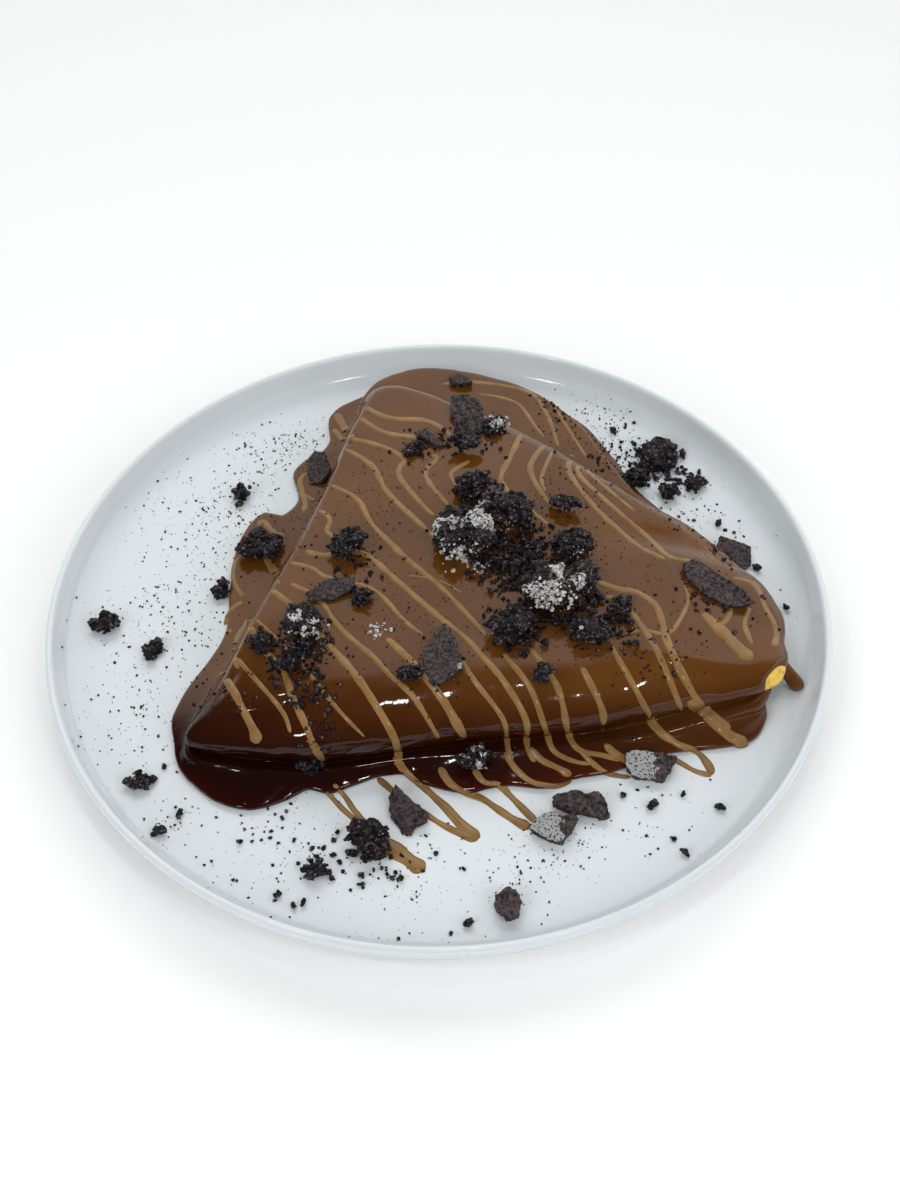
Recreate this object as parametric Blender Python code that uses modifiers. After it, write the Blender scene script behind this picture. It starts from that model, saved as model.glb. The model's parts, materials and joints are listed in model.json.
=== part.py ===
"""A folded crepe under chocolate sauce on a low-rimmed plate, with drizzle and cookie pieces.

Plan sizes below are in millimetres, seen from above with the front of the plate at -Y,
and MM turns them into metres where a mesh is made. The origin is the middle of the
plate's foot, at the level of the table.
"""

import math
import random

import bmesh
import bpy
from mathutils import Euler, Matrix, Vector, noise
from mathutils.bvhtree import BVHTree
from mathutils.geometry import delaunay_2d_cdt

MM = 0.001
GAP = 0.35

# Plate: a coupe plate with a flat floor, a coved rim and a low foot ring.
PLATE_RADIUS = 135.0
RIM_HEIGHT = 20.0
FLOOR_HEIGHT = 8.0
FLOOR_RADIUS = 122.0
LIP_WIDTH = 3.2
FOOT_INNER = 80.0
FOOT_OUTER = 86.0
FOOT_HEIGHT = 2.6
PLATE_SEGMENTS = 44

# Crepe: a round crepe folded in half and then in thirds, so its plan is a sector of about
# 60 degrees. The point is at the front left, two folds leave it, and the open edge of the
# layers is at the back right.
MIDDLE = Vector((14.0, 0.0))
STATIONS = 60
TOP_HEIGHT = 30.0
UPPER_FLAP = [
    (-80, -58), (-66, -64), (-40, -61), (0, -58), (40, -55), (80, -51), (100, -46),
    (110, -40), (114.5, -27), (116, -12), (109, 5), (92, 23), (74, 35), (57, 50),
    (38, 68), (13, 86), (-8, 97), (-23, 98), (-30, 82), (-41, 40), (-51, 8), (-69, -38),
]
LOWER_FLAP = [
    (-81, -61), (-66, -67), (-40, -65), (0, -63), (40, -61), (80, -56), (100, -50),
    (110, -43), (115, -32), (117, -15), (111, 4), (95, 26), (79, 42), (67, 62),
    (52, 91), (29, 110), (-4, 118), (-25, 108), (-34, 86), (-46, 42), (-58, 10), (-75, -36),
]
POOL_EDGE = [
    (-87, -53), (-84, -64), (-73, -76), (-60, -80.5), (-49, -77.5), (-42, -73.5), (-35, -75),
    (-27, -72), (-14, -67.5), (-5, -72), (8, -75.5), (20, -73), (33, -74), (44, -70.5),
    (55, -68.5), (72, -62), (90, -60), (102, -57), (108, -48), (108, -41), (113, -32),
    (116, -26), (117, -12), (112, 6), (98, 29), (84, 46), (74, 60), (68, 76), (56, 97),
    (31, 114), (-4, 121), (-29, 114), (-42, 104), (-43, 90), (-47, 72), (-53, 54),
    (-67, 44), (-75, 24), (-74, 2), (-77, -18), (-84, -36),
]
TIP = (113.0, -43.0, 15.5)
TIP_RADIUS = 6.5
POOL_DEPTH = 2.6
SAUCE_DEPTH = 2.0
LINING_GAP = 0.50
CAP_STEP = 16.0

# Drizzle: one stream swung to and fro between the left fold or the back edge and the
# front fold. Each rail is the line that every stroke crosses at the same share of its way.
STROKES = 14
DRIZZLE_WIDTH = 3.0
DRIZZLE_RISE = 0.36
DRIZZLE_FIT = 0.8
DRIZZLE_RAILS = [
    [(-71, -44), (-61, -20), (-53, 2), (-43, 34), (-35, 62), (-29, 84), (33, 68), (46, 57), (55, 49)],
    [(-66, -50), (-55, -29), (-41, -9), (-32, 20), (-20, 41), (3, 62), (24, 45), (38, 43), (56, 35)],
    [(-62, -56), (-48, -42), (-28, -29), (-12, 2), (-1, 16), (11, 31), (34, 24), (50, 16), (72, 13)],
    [(-59, -62), (-43, -57), (-12, -47), (11, -25), (21, -25), (41, -30), (56, -30), (70, -22), (86, -12)],
    [(-56, -67), (-36, -70), (1, -68), (24, -68), (35, -67), (52, -65), (68, -63), (79, -58), (92, -53)],
]
HAIRPINS = [
    [(-40, -70), (-26, -83), (-6, -103), (-17, -94), (-34, -72)],
    [(-20, -67), (-8, -82), (10, -92), (3, -82), (-11, -68)],
    [(3, -72), (18, -80), (31, -86), (24, -78), (13, -71)],
    [(65, -62), (76, -65), (87, -70), (85, -61), (78, -58)],
    [(84, -53), (92, -57), (100, -58)],
    [(-62, -8), (-71, 2), (-73, 16), (-70, 27)],
    [(-52, 34), (-60, 36), (-66, 42)],
    [(-42, 46), (-49, 54), (-51, 65)],
    [(-29, 82), (-36, 90), (-40, 99)],
    [(14, 88), (32, 84), (39, 72), (43, 63)],
    [(8, 97), (30, 93), (43, 80), (46, 60)],
    [(96, 2), (107, -2), (112, -16), (112, -30)],
    [(88, -20), (94, -29), (101, -38)],
]
DRIP = [(111, -24), (115, -30), (117, -34)]
DRIP_WIDTH = 6.0

# Cookie pieces, as (x, y, length, width, height, turn in degrees, shape), largest first in
# each place: on the crepe's top, on the sauce and ledges, and on the plate.
COOKIES = [
    (9, 10, 22, 20, 10, 40, "lump"), (40, -14, 24, 18, 10, 10, "lump"),
    (24, 22, 18, 15, 8, -30, "lump"), (24, -29, 15, 14, 8, 20, "lump"),
    (13, 36, 14, 10, 7, 30, "lump"), (46, 6, 14, 12, 7, 60, "lump"),
    (49, -32, 14, 9, 5, -10, "lump"), (60, -20, 11, 9, 5, 40, "lump"),
    (93, -8, 25, 13, 6, -38, "wafer"), (11, 77, 22, 13, 5, 75, "wafer"),
    (22, 71, 12, 10, 6, 10, "lump"), (10, 58, 12, 6, 4, -5, "lump"),
    (-9, 58, 10, 7, 4, 20, "lump"), (-3, 68, 13, 5, 4, -42, "wafer"),
    (-31, 8, 14, 9, 5, 65, "lump"), (-36, -8, 17, 6, 4, 18, "wafer"),
    (-25, -15, 9, 8, 5, 40, "lump"), (-44, -27, 14, 13, 8, 0, "lump"),
    (-58, -32, 9, 8, 5, 80, "lump"), (-47, -41, 11, 9, 5, -50, "lump"),
    (1, -36, 21, 11, 7, 68, "wafer"), (-9, -46, 9, 6, 5, 10, "lump"),
    (45, 26, 12, 6, 4, -10, "lump"), (33, -48, 9, 6, 4, 70, "lump"),
    (102, 8, 15, 13, 8, -30, "wafer"), (9, 107, 10, 6, 4, -5, "wafer"),
    (-49, 70, 15, 9, 8, 70, "wafer"), (-65, 27, 15, 13, 6, 30, "lump"),
    (-41, -69, 9, 8, 5, 0, "lump"), (11, -68, 13, 11, 6, 20, "lump"),
    (66, -67, 17, 12, 8, 5, "wafer"), (44, -79, 17, 10, 7, -20, "wafer"),
    (36, -90, 16, 12, 8, 15, "wafer"), (-12, -83, 17, 11, 10, -60, "wafer"),
    (-22, -94, 14, 12, 8, -30, "lump"), (-78, 10, 10, 7, 6, 70, "lump"),
    (86, 76, 17, 14, 9, 60, "lump"), (76, 62, 12, 10, 7, 10, "lump"),
    (88, 56, 9, 8, 7, 80, "lump"), (98, 61, 10, 8, 6, 30, "lump"),
    (-117, -5, 11, 10, 7, 0, "lump"), (-99, -17, 10, 7, 5, 70, "lump"),
    (-75, 59, 8, 8, 6, 0, "lump"), (-96, -70, 9, 7, 5, 10, "lump"),
    (-38, -103, 9, 8, 6, 0, "lump"), (20, -112, 11, 8, 6, 60, "wafer"),
]
COOKIE_SEED = 7

# Larger crumbs, as (x, y, size): the first group lies in the sauce, the second on the plate.
SAUCE_CRUMBS = [
    (-22, -4, 5.0), (-13, -10, 4.5), (-20, -27, 5.0), (-35, -31, 4.5), (-50, -49, 4.5),
    (-19, -43, 5.0), (-4, -9, 4.5), (26, -8, 5.0), (30, 4, 5.0), (58, -8, 4.5),
    (64, 24, 4.5), (88, -30, 6.5), (102, -24, 4.5), (-17, 64, 5.5), (3, 47, 4.5),
   
]
PLATE_CRUMBS = [
    (-87, -86, 5.5), (-82, -81, 4.0), (8, -120, 5.0), (68, -82, 4.0), (88, -83, 3.5),
    (75, -99, 3.5), (-76, 52, 3.5), (105, 40, 4.5), (96, 78, 4.0), (70, 92, 4.5),
    (115, 18, 5.0), (-27, -97, 4.5),
]


def clear_scene():
    for obj in list(bpy.data.objects):
        bpy.data.objects.remove(obj, do_unlink=True)


def material(name, colour, roughness):
    """A plain Principled material in the part's own colour."""
    mat = bpy.data.materials.new(name)
    mat.use_nodes = True
    shader = mat.node_tree.nodes["Principled BSDF"]
    shader.inputs["Base Color"].default_value = (*colour, 1.0)
    shader.inputs["Roughness"].default_value = roughness
    shader.inputs["Metallic"].default_value = 0.0
    return mat


def add_object(name, mesh, collection, mat=None):
    obj = bpy.data.objects.new(name, mesh)
    collection.objects.link(obj)
    if mat:
        mesh.materials.append(mat)
    return obj


def smooth_step(low, high, value):
    t = min(1.0, max(0.0, (value - low) / (high - low)))
    return t * t * (3 - 2 * t)


def bump(distance, width):
    return math.exp(-((distance / width) ** 2))


def spline(points, closed, steps):
    """Points of a Catmull-Rom curve through the given plan points."""
    pts = [Vector(p) for p in points]
    count = len(pts)
    spans = count if closed else count - 1
    out = []
    for i in range(spans):
        if closed:
            a, b, c, d = (pts[(i + k) % count] for k in (-1, 0, 1, 2))
        else:
            a, b = pts[max(i - 1, 0)], pts[i]
            c, d = pts[i + 1], pts[min(i + 2, count - 1)]
        for k in range(steps):
            t = k / steps
            out.append(
                0.5 * (2 * b + (c - a) * t + (2 * a - 5 * b + 4 * c - d) * t ** 2
                       + (3 * b - a - 3 * c + d) * t ** 3)
            )
    if not closed:
        out.append(pts[-1])
    return out


def even_points(line, count, closed=True):
    """The line again, as points that lie the same distance apart."""
    loop = line + [line[0]] if closed else line
    lengths = [0.0]
    for p, q in zip(loop, loop[1:]):
        lengths.append(lengths[-1] + (q - p).length)
    last = count if closed else count - 1
    out, k = [], 0
    for i in range(count):
        target = min(lengths[-1] * i / last, lengths[-1] - 1e-9)
        while lengths[k + 1] < target:
            k += 1
        share = (target - lengths[k]) / (lengths[k + 1] - lengths[k])
        out.append(loop[k].lerp(loop[k + 1], share))
    return out


def fewest_points(route, fit):
    """The corners of a route that keep every other point of it within the fit."""
    first, last = route[0], route[-1]
    way = last - first
    worst, where = 0.0, None
    for i in range(1, len(route) - 1):
        share = (route[i] - first).dot(way) / max(way.length_squared, 1e-9)
        off = (route[i] - first - way * min(1.0, max(0.0, share))).length
        if off > worst:
            worst, where = off, i
    if where is None or worst <= fit:
        return [first, last]
    return fewest_points(route[:where + 1], fit)[:-1] + fewest_points(route[where:], fit)


def reach(line, direction):
    """How far the closed line lies from MIDDLE along a direction."""
    best = 0.0
    for p, q in zip(line, line[1:] + line[:1]):
        a, edge = p - MIDDLE, q - p
        cross = direction.x * edge.y - direction.y * edge.x
        if abs(cross) < 1e-9:
            continue
        along = (a.x * edge.y - a.y * edge.x) / cross
        share = (a.x * direction.y - a.y * direction.x) / cross
        if along > best and -1e-6 <= share <= 1 + 1e-6:
            best = along
    return best


def top_height(x, y):
    """Height of the crepe's top, with the drop to its point, its open edge and its dents."""
    point = math.hypot(x + 80, y + 58)
    height = TOP_HEIGHT - 8.0 * bump(point, 26)
    height -= 1.6 * smooth_step(35, 95, y)
    height -= 8.0 * smooth_step(70, 116, x)
    height -= 1.6 * smooth_step(60, 95, 0.62 * x + 0.78 * y)
    valley = abs(y - 14 + 0.12 * (x - 76))
    height -= 2.2 * bump(valley, 6) * smooth_step(55, 80, x)
    height += 0.8 * math.sin(x / 21 + 0.6) * math.sin(y / 17 - 0.4)
    return height


def stations():
    """Directions round the crepe, with the reach of each layer and the heights there."""
    upper = spline(UPPER_FLAP, True, 8)
    lower = spline(LOWER_FLAP, True, 8)
    pool = spline(POOL_EDGE, True, 6)
    out = []
    for p in even_points(lower, STATIONS):
        direction = (p - MIDDLE).normalized()
        r_upper = reach(upper, direction)
        edge = MIDDLE + direction * r_upper
        front = smooth_step(0.35, 0.75, -direction.y) if edge.y < -30 else 0.0
        left = smooth_step(0.30, 0.65, -direction.x) * (1 - front)
        back = 1 - front - left
        rear = 13.5 + 5.5 * smooth_step(30, 105, edge.y)
        out.append({
            "dir": direction,
            "upper": r_upper,
            "lower": reach(lower, direction),
            "pool": reach(pool, direction),
            "ledge": min(14.5 * front + 12.5 * left + rear * back, top_height(*edge) - 7.5),
            "roll": 9.0 * front + 3.0 * left + 6.0 * back,
            "lift": bump((edge - Vector((118.0, -27.0))).length, 22),
        })
    return out


def crepe_profile(s):
    """One station's section through the folded crepe, from its base to its top."""
    floor = FLOOR_HEIGHT + GAP
    lower, upper, ledge, roll = s["lower"], s["upper"], s["ledge"], s["roll"]
    edge = MIDDLE + s["dir"] * (upper - roll)
    top = top_height(edge.x, edge.y)
    rise = top - ledge
    thick = ledge - floor
    return [
        (lower - 3.0 - 7.0 * s["lift"], floor),
        (lower - 0.6, floor + (0.25 + 0.3 * s["lift"]) * thick),
        (lower - 0.8, floor + 0.80 * thick),
        (lower - 2.4, ledge),
        (min(upper - 1.8, lower - 3.6), ledge + 0.6),
        (upper, ledge + 0.42 * rise),
        (upper - 0.25 * roll, ledge + 0.80 * rise),
        (upper - roll, top),
    ]


def grown(section, depths):
    """A section moved out along its own normals, its first row only sideways."""
    out = [(section[0][0] + depths[0], section[0][1])]
    for k in range(1, len(section)):
        before = Vector(section[k - 1])
        after = Vector(section[min(k + 1, len(section) - 1)])
        here = Vector(section[k])
        way = (here - before).normalized() + (after - here).normalized()
        side = Vector((way.y, -way.x)).normalized()
        if k == len(section) - 1:
            side = Vector((0.0, 1.0))
        out.append(tuple(here + side * depths[k]))
    return out


def cap_plan():
    """Plan points inside the ring where the crepe's top begins, and the triangles between."""
    ring = [MIDDLE + s["dir"] * (s["upper"] - s["roll"]) for s in STATION_LIST]
    inner = []
    step = CAP_STEP
    for row in range(-8, 10):
        for column in range(-10, 11):
            p = Vector(((column + 0.5 * (row % 2)) * step, row * step * 0.866))
            here = p - MIDDLE
            if here.length < 1e-6 or reach(ring, here.normalized()) > here.length + 0.6 * step:
                if min((p - q).length for q in ring) > 0.5 * step:
                    inner.append(p)
    count = len(ring)
    edges = [(i, (i + 1) % count) for i in range(count)]
    points, _, faces, _, _, _ = delaunay_2d_cdt(ring + inner, edges, [], 1, 1e-7)
    if len(points) != count + len(inner):
        raise RuntimeError("the ring of the top crosses itself")
    return inner, faces


def ring_solid(name, sections, first, last, flipped=0):
    """A closed solid lofted through one section for each station and capped at both ends.

    Each end is a flat fan at a height, or the top's own triangles with a lift. Rows below
    the flipped count take the other diagonal, so that a lining matches what it lines.
    """
    bm = bmesh.new()
    rows = len(sections[0])
    grid = [
        [bm.verts.new(((MIDDLE.x + s["dir"].x * r) * MM, (MIDDLE.y + s["dir"].y * r) * MM, z * MM))
         for r, z in section]
        for s, section in zip(STATION_LIST, sections)
    ]
    count = len(grid)
    for i, column in enumerate(grid):
        after = grid[(i + 1) % count]
        for k in range(rows - 1):
            a, b, c, d = column[k], after[k], after[k + 1], column[k + 1]
            if k < flipped:
                bm.faces.new((a, b, d))
                bm.faces.new((b, c, d))
            else:
                bm.faces.new((a, b, c))
                bm.faces.new((a, c, d))
    for row, (kind, height), turned in ((0, first, True), (rows - 1, last, False)):
        ring = [column[row] for column in grid]
        if kind == "flat":
            middle = bm.verts.new((MIDDLE.x * MM, MIDDLE.y * MM, height * MM))
            for i in range(count):
                corners = (middle, ring[i], ring[(i + 1) % count])
                bm.faces.new(corners[::-1] if turned else corners)
            continue
        inner, faces = CAP
        verts = ring + [
            bm.verts.new((p.x * MM, p.y * MM, (top_height(p.x, p.y) + height) * MM)) for p in inner
        ]
        for face in faces:
            corners = [verts[k] for k in face]
            bm.faces.new(corners[::-1] if turned else corners)
    mesh = bpy.data.meshes.new(name)
    bm.to_mesh(mesh)
    bm.free()
    return mesh


def crepe_mesh(name):
    """The folded crepe, from its base over its edge to the middle of its top."""
    sections = [crepe_profile(s) for s in STATION_LIST]
    return ring_solid(name, sections, ("flat", FLOOR_HEIGHT + GAP), ("top", 0.0))


def sauce_mesh(name):
    """The sauce: a shell just clear of the crepe that runs out into the pool round it."""
    floor = FLOOR_HEIGHT + GAP
    coat_depths = [0, 0, SAUCE_DEPTH, SAUCE_DEPTH, 1.5, SAUCE_DEPTH, SAUCE_DEPTH, SAUCE_DEPTH]
    sections = []
    for s in STATION_LIST:
        crepe = crepe_profile(s)
        lining = grown(crepe, [LINING_GAP] * len(crepe))
        pool = max(s["pool"], s["lower"] + 3.4)
        foot = max(s["lower"] + 1.1, min(s["lower"] + 2.6, pool - 2.4))
        deep = floor + POOL_DEPTH
        skirt = [
            (pool - 1.0, floor),
            (pool, floor + 0.9),
            (pool - 0.9, deep - 0.5),
            (0.4 * foot + 0.6 * (pool - 0.9), deep),
            (foot, deep + 0.3 * (s["ledge"] - deep)),
        ]
        coat = grown(crepe, coat_depths)[2:]
        coat[1] = (coat[1][0], s["ledge"] + 1.0)
        coat[2] = (coat[2][0], s["ledge"] + 1.5)
        sections.append(lining[::-1] + skirt + coat)
    lined = len(crepe_profile(STATION_LIST[0])) - 1
    return ring_solid(name, sections, ("top", LINING_GAP), ("top", SAUCE_DEPTH), lined)


def tree_of(mesh):
    return BVHTree.FromPolygons(
        [v.co.copy() for v in mesh.vertices], [list(p.vertices) for p in mesh.polygons]
    )


def surface_of(mesh):
    """A quick way to find the height of a mesh under a plan point."""
    tree = tree_of(mesh)

    def height(x, y, missing, rise=None):
        hit, normal, _, _ = tree.ray_cast(Vector((x * MM, y * MM, 0.2)), Vector((0, 0, -1)))
        if rise is None:
            return hit.z / MM if hit else missing
        return hit / MM + normal * rise if hit else Vector((x, y, missing))

    return height


def drizzle_lines():
    """The plan route and width of every line of drizzle."""
    rails = [spline(rail, False, 12) for rail in DRIZZLE_RAILS]
    draw = random.Random(5)
    lines = []
    for i in range(STROKES):
        share = (i + draw.uniform(-0.18, 0.18)) / (STROKES - 1)
        k = min(max(share, 0.0), 1.0) * (len(rails[0]) - 1)
        low = min(int(k), len(rails[0]) - 2)
        route = [rail[low].lerp(rail[low + 1], k - low) for rail in rails]
        width = DRIZZLE_WIDTH * draw.uniform(0.85, 1.2)
        lines.append((spline(route, False, 4), width))
    for pin in HAIRPINS:
        lines.append((spline(pin, False, 3), DRIZZLE_WIDTH))
    lines.append((spline(DRIP, False, 3), DRIP_WIDTH))
    return lines


def add_drizzle(name, line, width, height, collection):
    """One line of drizzle as a closed tube whose lower half lies in the sauce."""
    curve = bpy.data.curves.new(name, "CURVE")
    curve.dimensions = "3D"
    curve.bevel_depth = 0.5 * width * MM
    curve.bevel_resolution = 0
    curve.use_fill_caps = True
    run = curve.splines.new("POLY")
    length = sum((q - p).length for p, q in zip(line, line[1:]))
    lowest = FLOOR_HEIGHT + GAP + 0.5 * width
    route = []
    for p in even_points(line, max(4, round(length / 0.8)), closed=False):
        here = height(p.x, p.y, lowest, DRIZZLE_RISE * width)
        here.z = max(here.z, lowest)
        route.append(here)
    points = fewest_points(route, DRIZZLE_FIT)
    run.points.add(len(points) - 1)
    for target, p in zip(run.points, points):
        target.co = (*(p * MM), 1.0)
    tube = add_object(name, curve, collection)
    made = bpy.data.meshes.new_from_object(
        tube.evaluated_get(bpy.context.evaluated_depsgraph_get())
    )
    bpy.data.objects.remove(tube, do_unlink=True)
    bm = bmesh.new()
    bm.from_mesh(made)
    bmesh.ops.remove_doubles(bm, verts=bm.verts, dist=0.02 * MM)
    bmesh.ops.recalc_face_normals(bm, faces=bm.faces)
    bm.to_mesh(made)
    bm.free()
    return add_object(name, made, collection)


def add_crumb(name, x, y, size, height, draw, collection):
    """A crumb of about thirty faces, sunk a little into what it lies on."""
    bm = bmesh.new()
    bmesh.ops.create_icosphere(bm, subdivisions=1, radius=0.5 * size * MM)
    for v in bm.verts:
        v.co *= draw.uniform(0.8, 1.15)
    z = height(x, y, FLOOR_HEIGHT) + 0.28 * size
    bmesh.ops.translate(bm, verts=bm.verts, vec=Vector((x, y, z)) * MM)
    mesh = bpy.data.meshes.new(name)
    bm.to_mesh(mesh)
    bm.free()
    return add_object(name, mesh, collection)


def fuse(obj, collection):
    """Joins everything in a collection to the object in one Boolean."""
    apply_boolean(obj, "UNION", collection, "MANIFOLD")
    for other in list(collection.objects):
        bpy.data.objects.remove(other, do_unlink=True)
    bpy.data.collections.remove(collection)
    keep_largest(obj.data)


def apply_boolean(obj, operation, operand, solver="EXACT"):
    """One Boolean with an object or a collection, applied to the mesh."""
    cut = obj.modifiers.new("join", "BOOLEAN")
    cut.operation = operation
    cut.solver = solver
    if isinstance(operand, bpy.types.Collection):
        cut.operand_type = "COLLECTION"
        cut.collection = operand
    else:
        cut.object = operand
    bpy.context.view_layer.update()
    graph = bpy.context.evaluated_depsgraph_get()
    made = bpy.data.meshes.new_from_object(obj.evaluated_get(graph))
    obj.modifiers.clear()
    obj.data = made


def build_plate(collection, mat):
    """The plate, turned from half its section."""
    cove_width = PLATE_RADIUS - LIP_WIDTH - FLOOR_RADIUS
    cove_height = RIM_HEIGHT - 0.8 - FLOOR_HEIGHT
    section = [(0, FLOOR_HEIGHT), (FLOOR_RADIUS, FLOOR_HEIGHT)]
    for i in range(1, 5):
        turn = math.radians(22.5 * i)
        section.append((
            FLOOR_RADIUS + cove_width * math.sin(turn),
            FLOOR_HEIGHT + cove_height * (1 - math.cos(turn)),
        ))
    lip = PLATE_RADIUS - 0.5 * LIP_WIDTH
    section += [
        (lip, RIM_HEIGHT), (PLATE_RADIUS, RIM_HEIGHT - 1.4),
        (PLATE_RADIUS - 2.5, 12.0), (PLATE_RADIUS - 9, 5.6), (PLATE_RADIUS - 22, 3.2),
        (FOOT_OUTER + 2, FOOT_HEIGHT), (FOOT_OUTER, 0), (FOOT_INNER, 0),
        (FOOT_INNER - 2, FOOT_HEIGHT), (0, FOOT_HEIGHT),
    ]
    mesh = bpy.data.meshes.new("plate")
    verts = [(r * MM, 0, z * MM) for r, z in section]
    mesh.from_pydata(verts, [(i, i + 1) for i in range(len(verts) - 1)], [])
    plate = add_object("plate", mesh, collection, mat)
    turn = plate.modifiers.new("turn", "SCREW")
    turn.angle = math.tau
    turn.steps = PLATE_SEGMENTS
    turn.render_steps = PLATE_SEGMENTS
    turn.use_merge_vertices = True
    turn.merge_threshold = 0.00001
    turn.use_smooth_shade = True
    graph = bpy.context.evaluated_depsgraph_get()
    turned = bpy.data.meshes.new_from_object(plate.evaluated_get(graph))
    plate.modifiers.clear()
    plate.data = turned
    crumbs = bpy.data.collections.new("plate_crumbs")
    bpy.context.scene.collection.children.link(crumbs)
    height = surface_of(plate.data)
    draw = random.Random(COOKIE_SEED + 2)
    for i, (x, y, size) in enumerate(PLATE_CRUMBS):
        add_crumb(f"plate_crumb_{i}", x, y, size, height, draw, crumbs)
    fuse(plate, crumbs)
    return plate


def build_crepe(collection, mat):
    """The crepe itself: both flaps fused, with the groove between them in its side."""
    return add_object("crepe", crepe_mesh("crepe"), collection, mat)


def build_sauce(collection, mat):
    """The sauce, open where the crepe's yellow tip shows, with its drizzle fused on."""
    sauce = add_object("chocolate_sauce", sauce_mesh("chocolate_sauce"), collection, mat)
    height = surface_of(sauce.data)
    tip = Vector(TIP) * MM
    bpy.ops.mesh.primitive_uv_sphere_add(
        segments=12, ring_count=8, radius=TIP_RADIUS * MM, location=tip
    )
    bite = bpy.context.active_object
    bite.name = "tip_bite"
    apply_boolean(sauce, "DIFFERENCE", bite, "MANIFOLD")
    bpy.data.objects.remove(bite, do_unlink=True)
    lines = bpy.data.collections.new("drizzle")
    bpy.context.scene.collection.children.link(lines)
    for i, (line, width) in enumerate(drizzle_lines()):
        add_drizzle(f"line_{i}", line, width, height, lines)
    draw = random.Random(COOKIE_SEED + 1)
    for i, (x, y, size) in enumerate(SAUCE_CRUMBS):
        add_crumb(f"sauce_crumb_{i}", x, y, size, height, draw, lines)
    fuse(sauce, lines)
    return sauce


def keep_largest(mesh):
    """Drops scraps that a Boolean leaves loose."""
    bm = bmesh.new()
    bm.from_mesh(mesh)
    left, groups = set(bm.faces), []
    while left:
        stack = [left.pop()]
        group = set(stack)
        while stack:
            for edge in stack.pop().edges:
                for face in edge.link_faces:
                    if face in left:
                        left.discard(face)
                        group.add(face)
                        stack.append(face)
        groups.append(group)
    largest = max(groups, key=len)
    scraps = [f for g in groups if g is not largest for f in g]
    bmesh.ops.delete(bm, geom=scraps, context="FACES")
    bmesh.ops.triangulate(bm, faces=bm.faces)
    bm.to_mesh(mesh)
    bm.free()


def cookie_shape(length, width, height, shape, draw):
    """A broken bit of cookie, round its own middle: a crumbly lump or a flat wafer shard."""
    bm = bmesh.new()
    if shape == "lump":
        bmesh.ops.create_icosphere(bm, subdivisions=2 if length > 13 else 1, radius=1.0)
        shift = Vector((draw.uniform(0, 50), draw.uniform(0, 50), draw.uniform(0, 50)))
        for v in bm.verts:
            v.co *= 1 + 0.22 * noise.noise(v.co * 1.6 + shift)
    else:
        corners = 7
        bmesh.ops.create_cone(
            bm, cap_ends=True, segments=corners, radius1=1.0, radius2=0.93, depth=2.0
        )
        for i in range(corners):
            pull = draw.uniform(0.72, 1.12)
            for v in bm.verts:
                if round((math.atan2(v.co.y, v.co.x) % math.tau) / math.tau * corners) % corners == i:
                    v.co.x *= pull
                    v.co.y *= pull
    for v in bm.verts:
        v.co = Vector((v.co.x * length / 2, v.co.y * width / 2, v.co.z * height / 2)) * MM
    return bm


def build_cookies(collection, mat, others):
    """Each cookie piece that is as large as a berry, settled on what is under it."""
    draw = random.Random(COOKIE_SEED)
    bed, plate = (surface_of(obj.data) for obj in others)
    bed_tree = tree_of(others[0].data)
    for i, (x, y, length, width, tall, turn, shape) in enumerate(COOKIES, 1):
        bm = cookie_shape(length, width, tall, shape, draw)
        bmesh.ops.rotate(bm, verts=bm.verts, matrix=rotation(turn, draw))
        bmesh.ops.translate(bm, verts=bm.verts, vec=Vector((x, y, 0)) * MM)
        under = [max(bed(v.co.x / MM, v.co.y / MM, 0), plate(v.co.x / MM, v.co.y / MM, 0))
                 for v in bm.verts]
        sink = max(u - v.co.z / MM for v, u in zip(bm.verts, under)) - 0.18 * tall
        for v, u in zip(bm.verts, under):
            v.co.z = max(v.co.z / MM + sink, u + 2 * GAP) * MM
        bmesh.ops.triangulate(bm, faces=bm.faces)
        mesh = bpy.data.meshes.new(f"cookie_{i:02d}")
        bm.to_mesh(mesh)
        bm.free()
        mesh.transform(Matrix.Translation((0, 0, clearance(mesh, bed, plate) * MM)))
        while tree_of(mesh).overlap(bed_tree):
            mesh.transform(Matrix.Translation((0, 0, GAP * MM)))
        add_object(mesh.name, mesh, collection, mat)


def clearance(mesh, bed, plate):
    """How far a piece has to rise to clear what is under it all over by the gap."""
    tree = tree_of(mesh)
    xs = [v.co.x / MM for v in mesh.vertices]
    ys = [v.co.y / MM for v in mesh.vertices]
    rise = 0.0
    step = 0.5
    for i in range(int((max(xs) - min(xs)) / step) + 1):
        for k in range(int((max(ys) - min(ys)) / step) + 1):
            x, y = min(xs) + i * step, min(ys) + k * step
            hit = tree.ray_cast(Vector((x * MM, y * MM, -0.1)), Vector((0, 0, 1)))[0]
            if hit:
                rise = max(rise, max(bed(x, y, 0), plate(x, y, 0)) + GAP - hit.z / MM)
    return rise


def rotation(turn, draw):
    """A turn about Z with a little tilt, as a matrix."""
    tilt = math.radians(draw.uniform(-8, 8))
    return Euler((tilt, math.radians(draw.uniform(-8, 8)), math.radians(turn))).to_matrix()


clear_scene()
STATION_LIST = stations()
CAP = cap_plan()
part = bpy.data.collections.new("folded_crepe")
bpy.context.scene.collection.children.link(part)
plate_object = build_plate(part, material("glazed_porcelain", (0.86, 0.88, 0.89), 0.12))
build_crepe(part, material("crepe_batter", (0.80, 0.58, 0.20), 0.6))
dressed = build_sauce(part, material("chocolate", (0.13, 0.05, 0.025), 0.2))
crumb_black = material("chocolate_cookie", (0.03, 0.022, 0.02), 0.85)
build_cookies(part, crumb_black, (dressed, plate_object))
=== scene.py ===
import json
import math
import random

import bpy
import numpy as np
from mathutils import Matrix, Vector, noise
from mathutils.bvhtree import BVHTree

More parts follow.
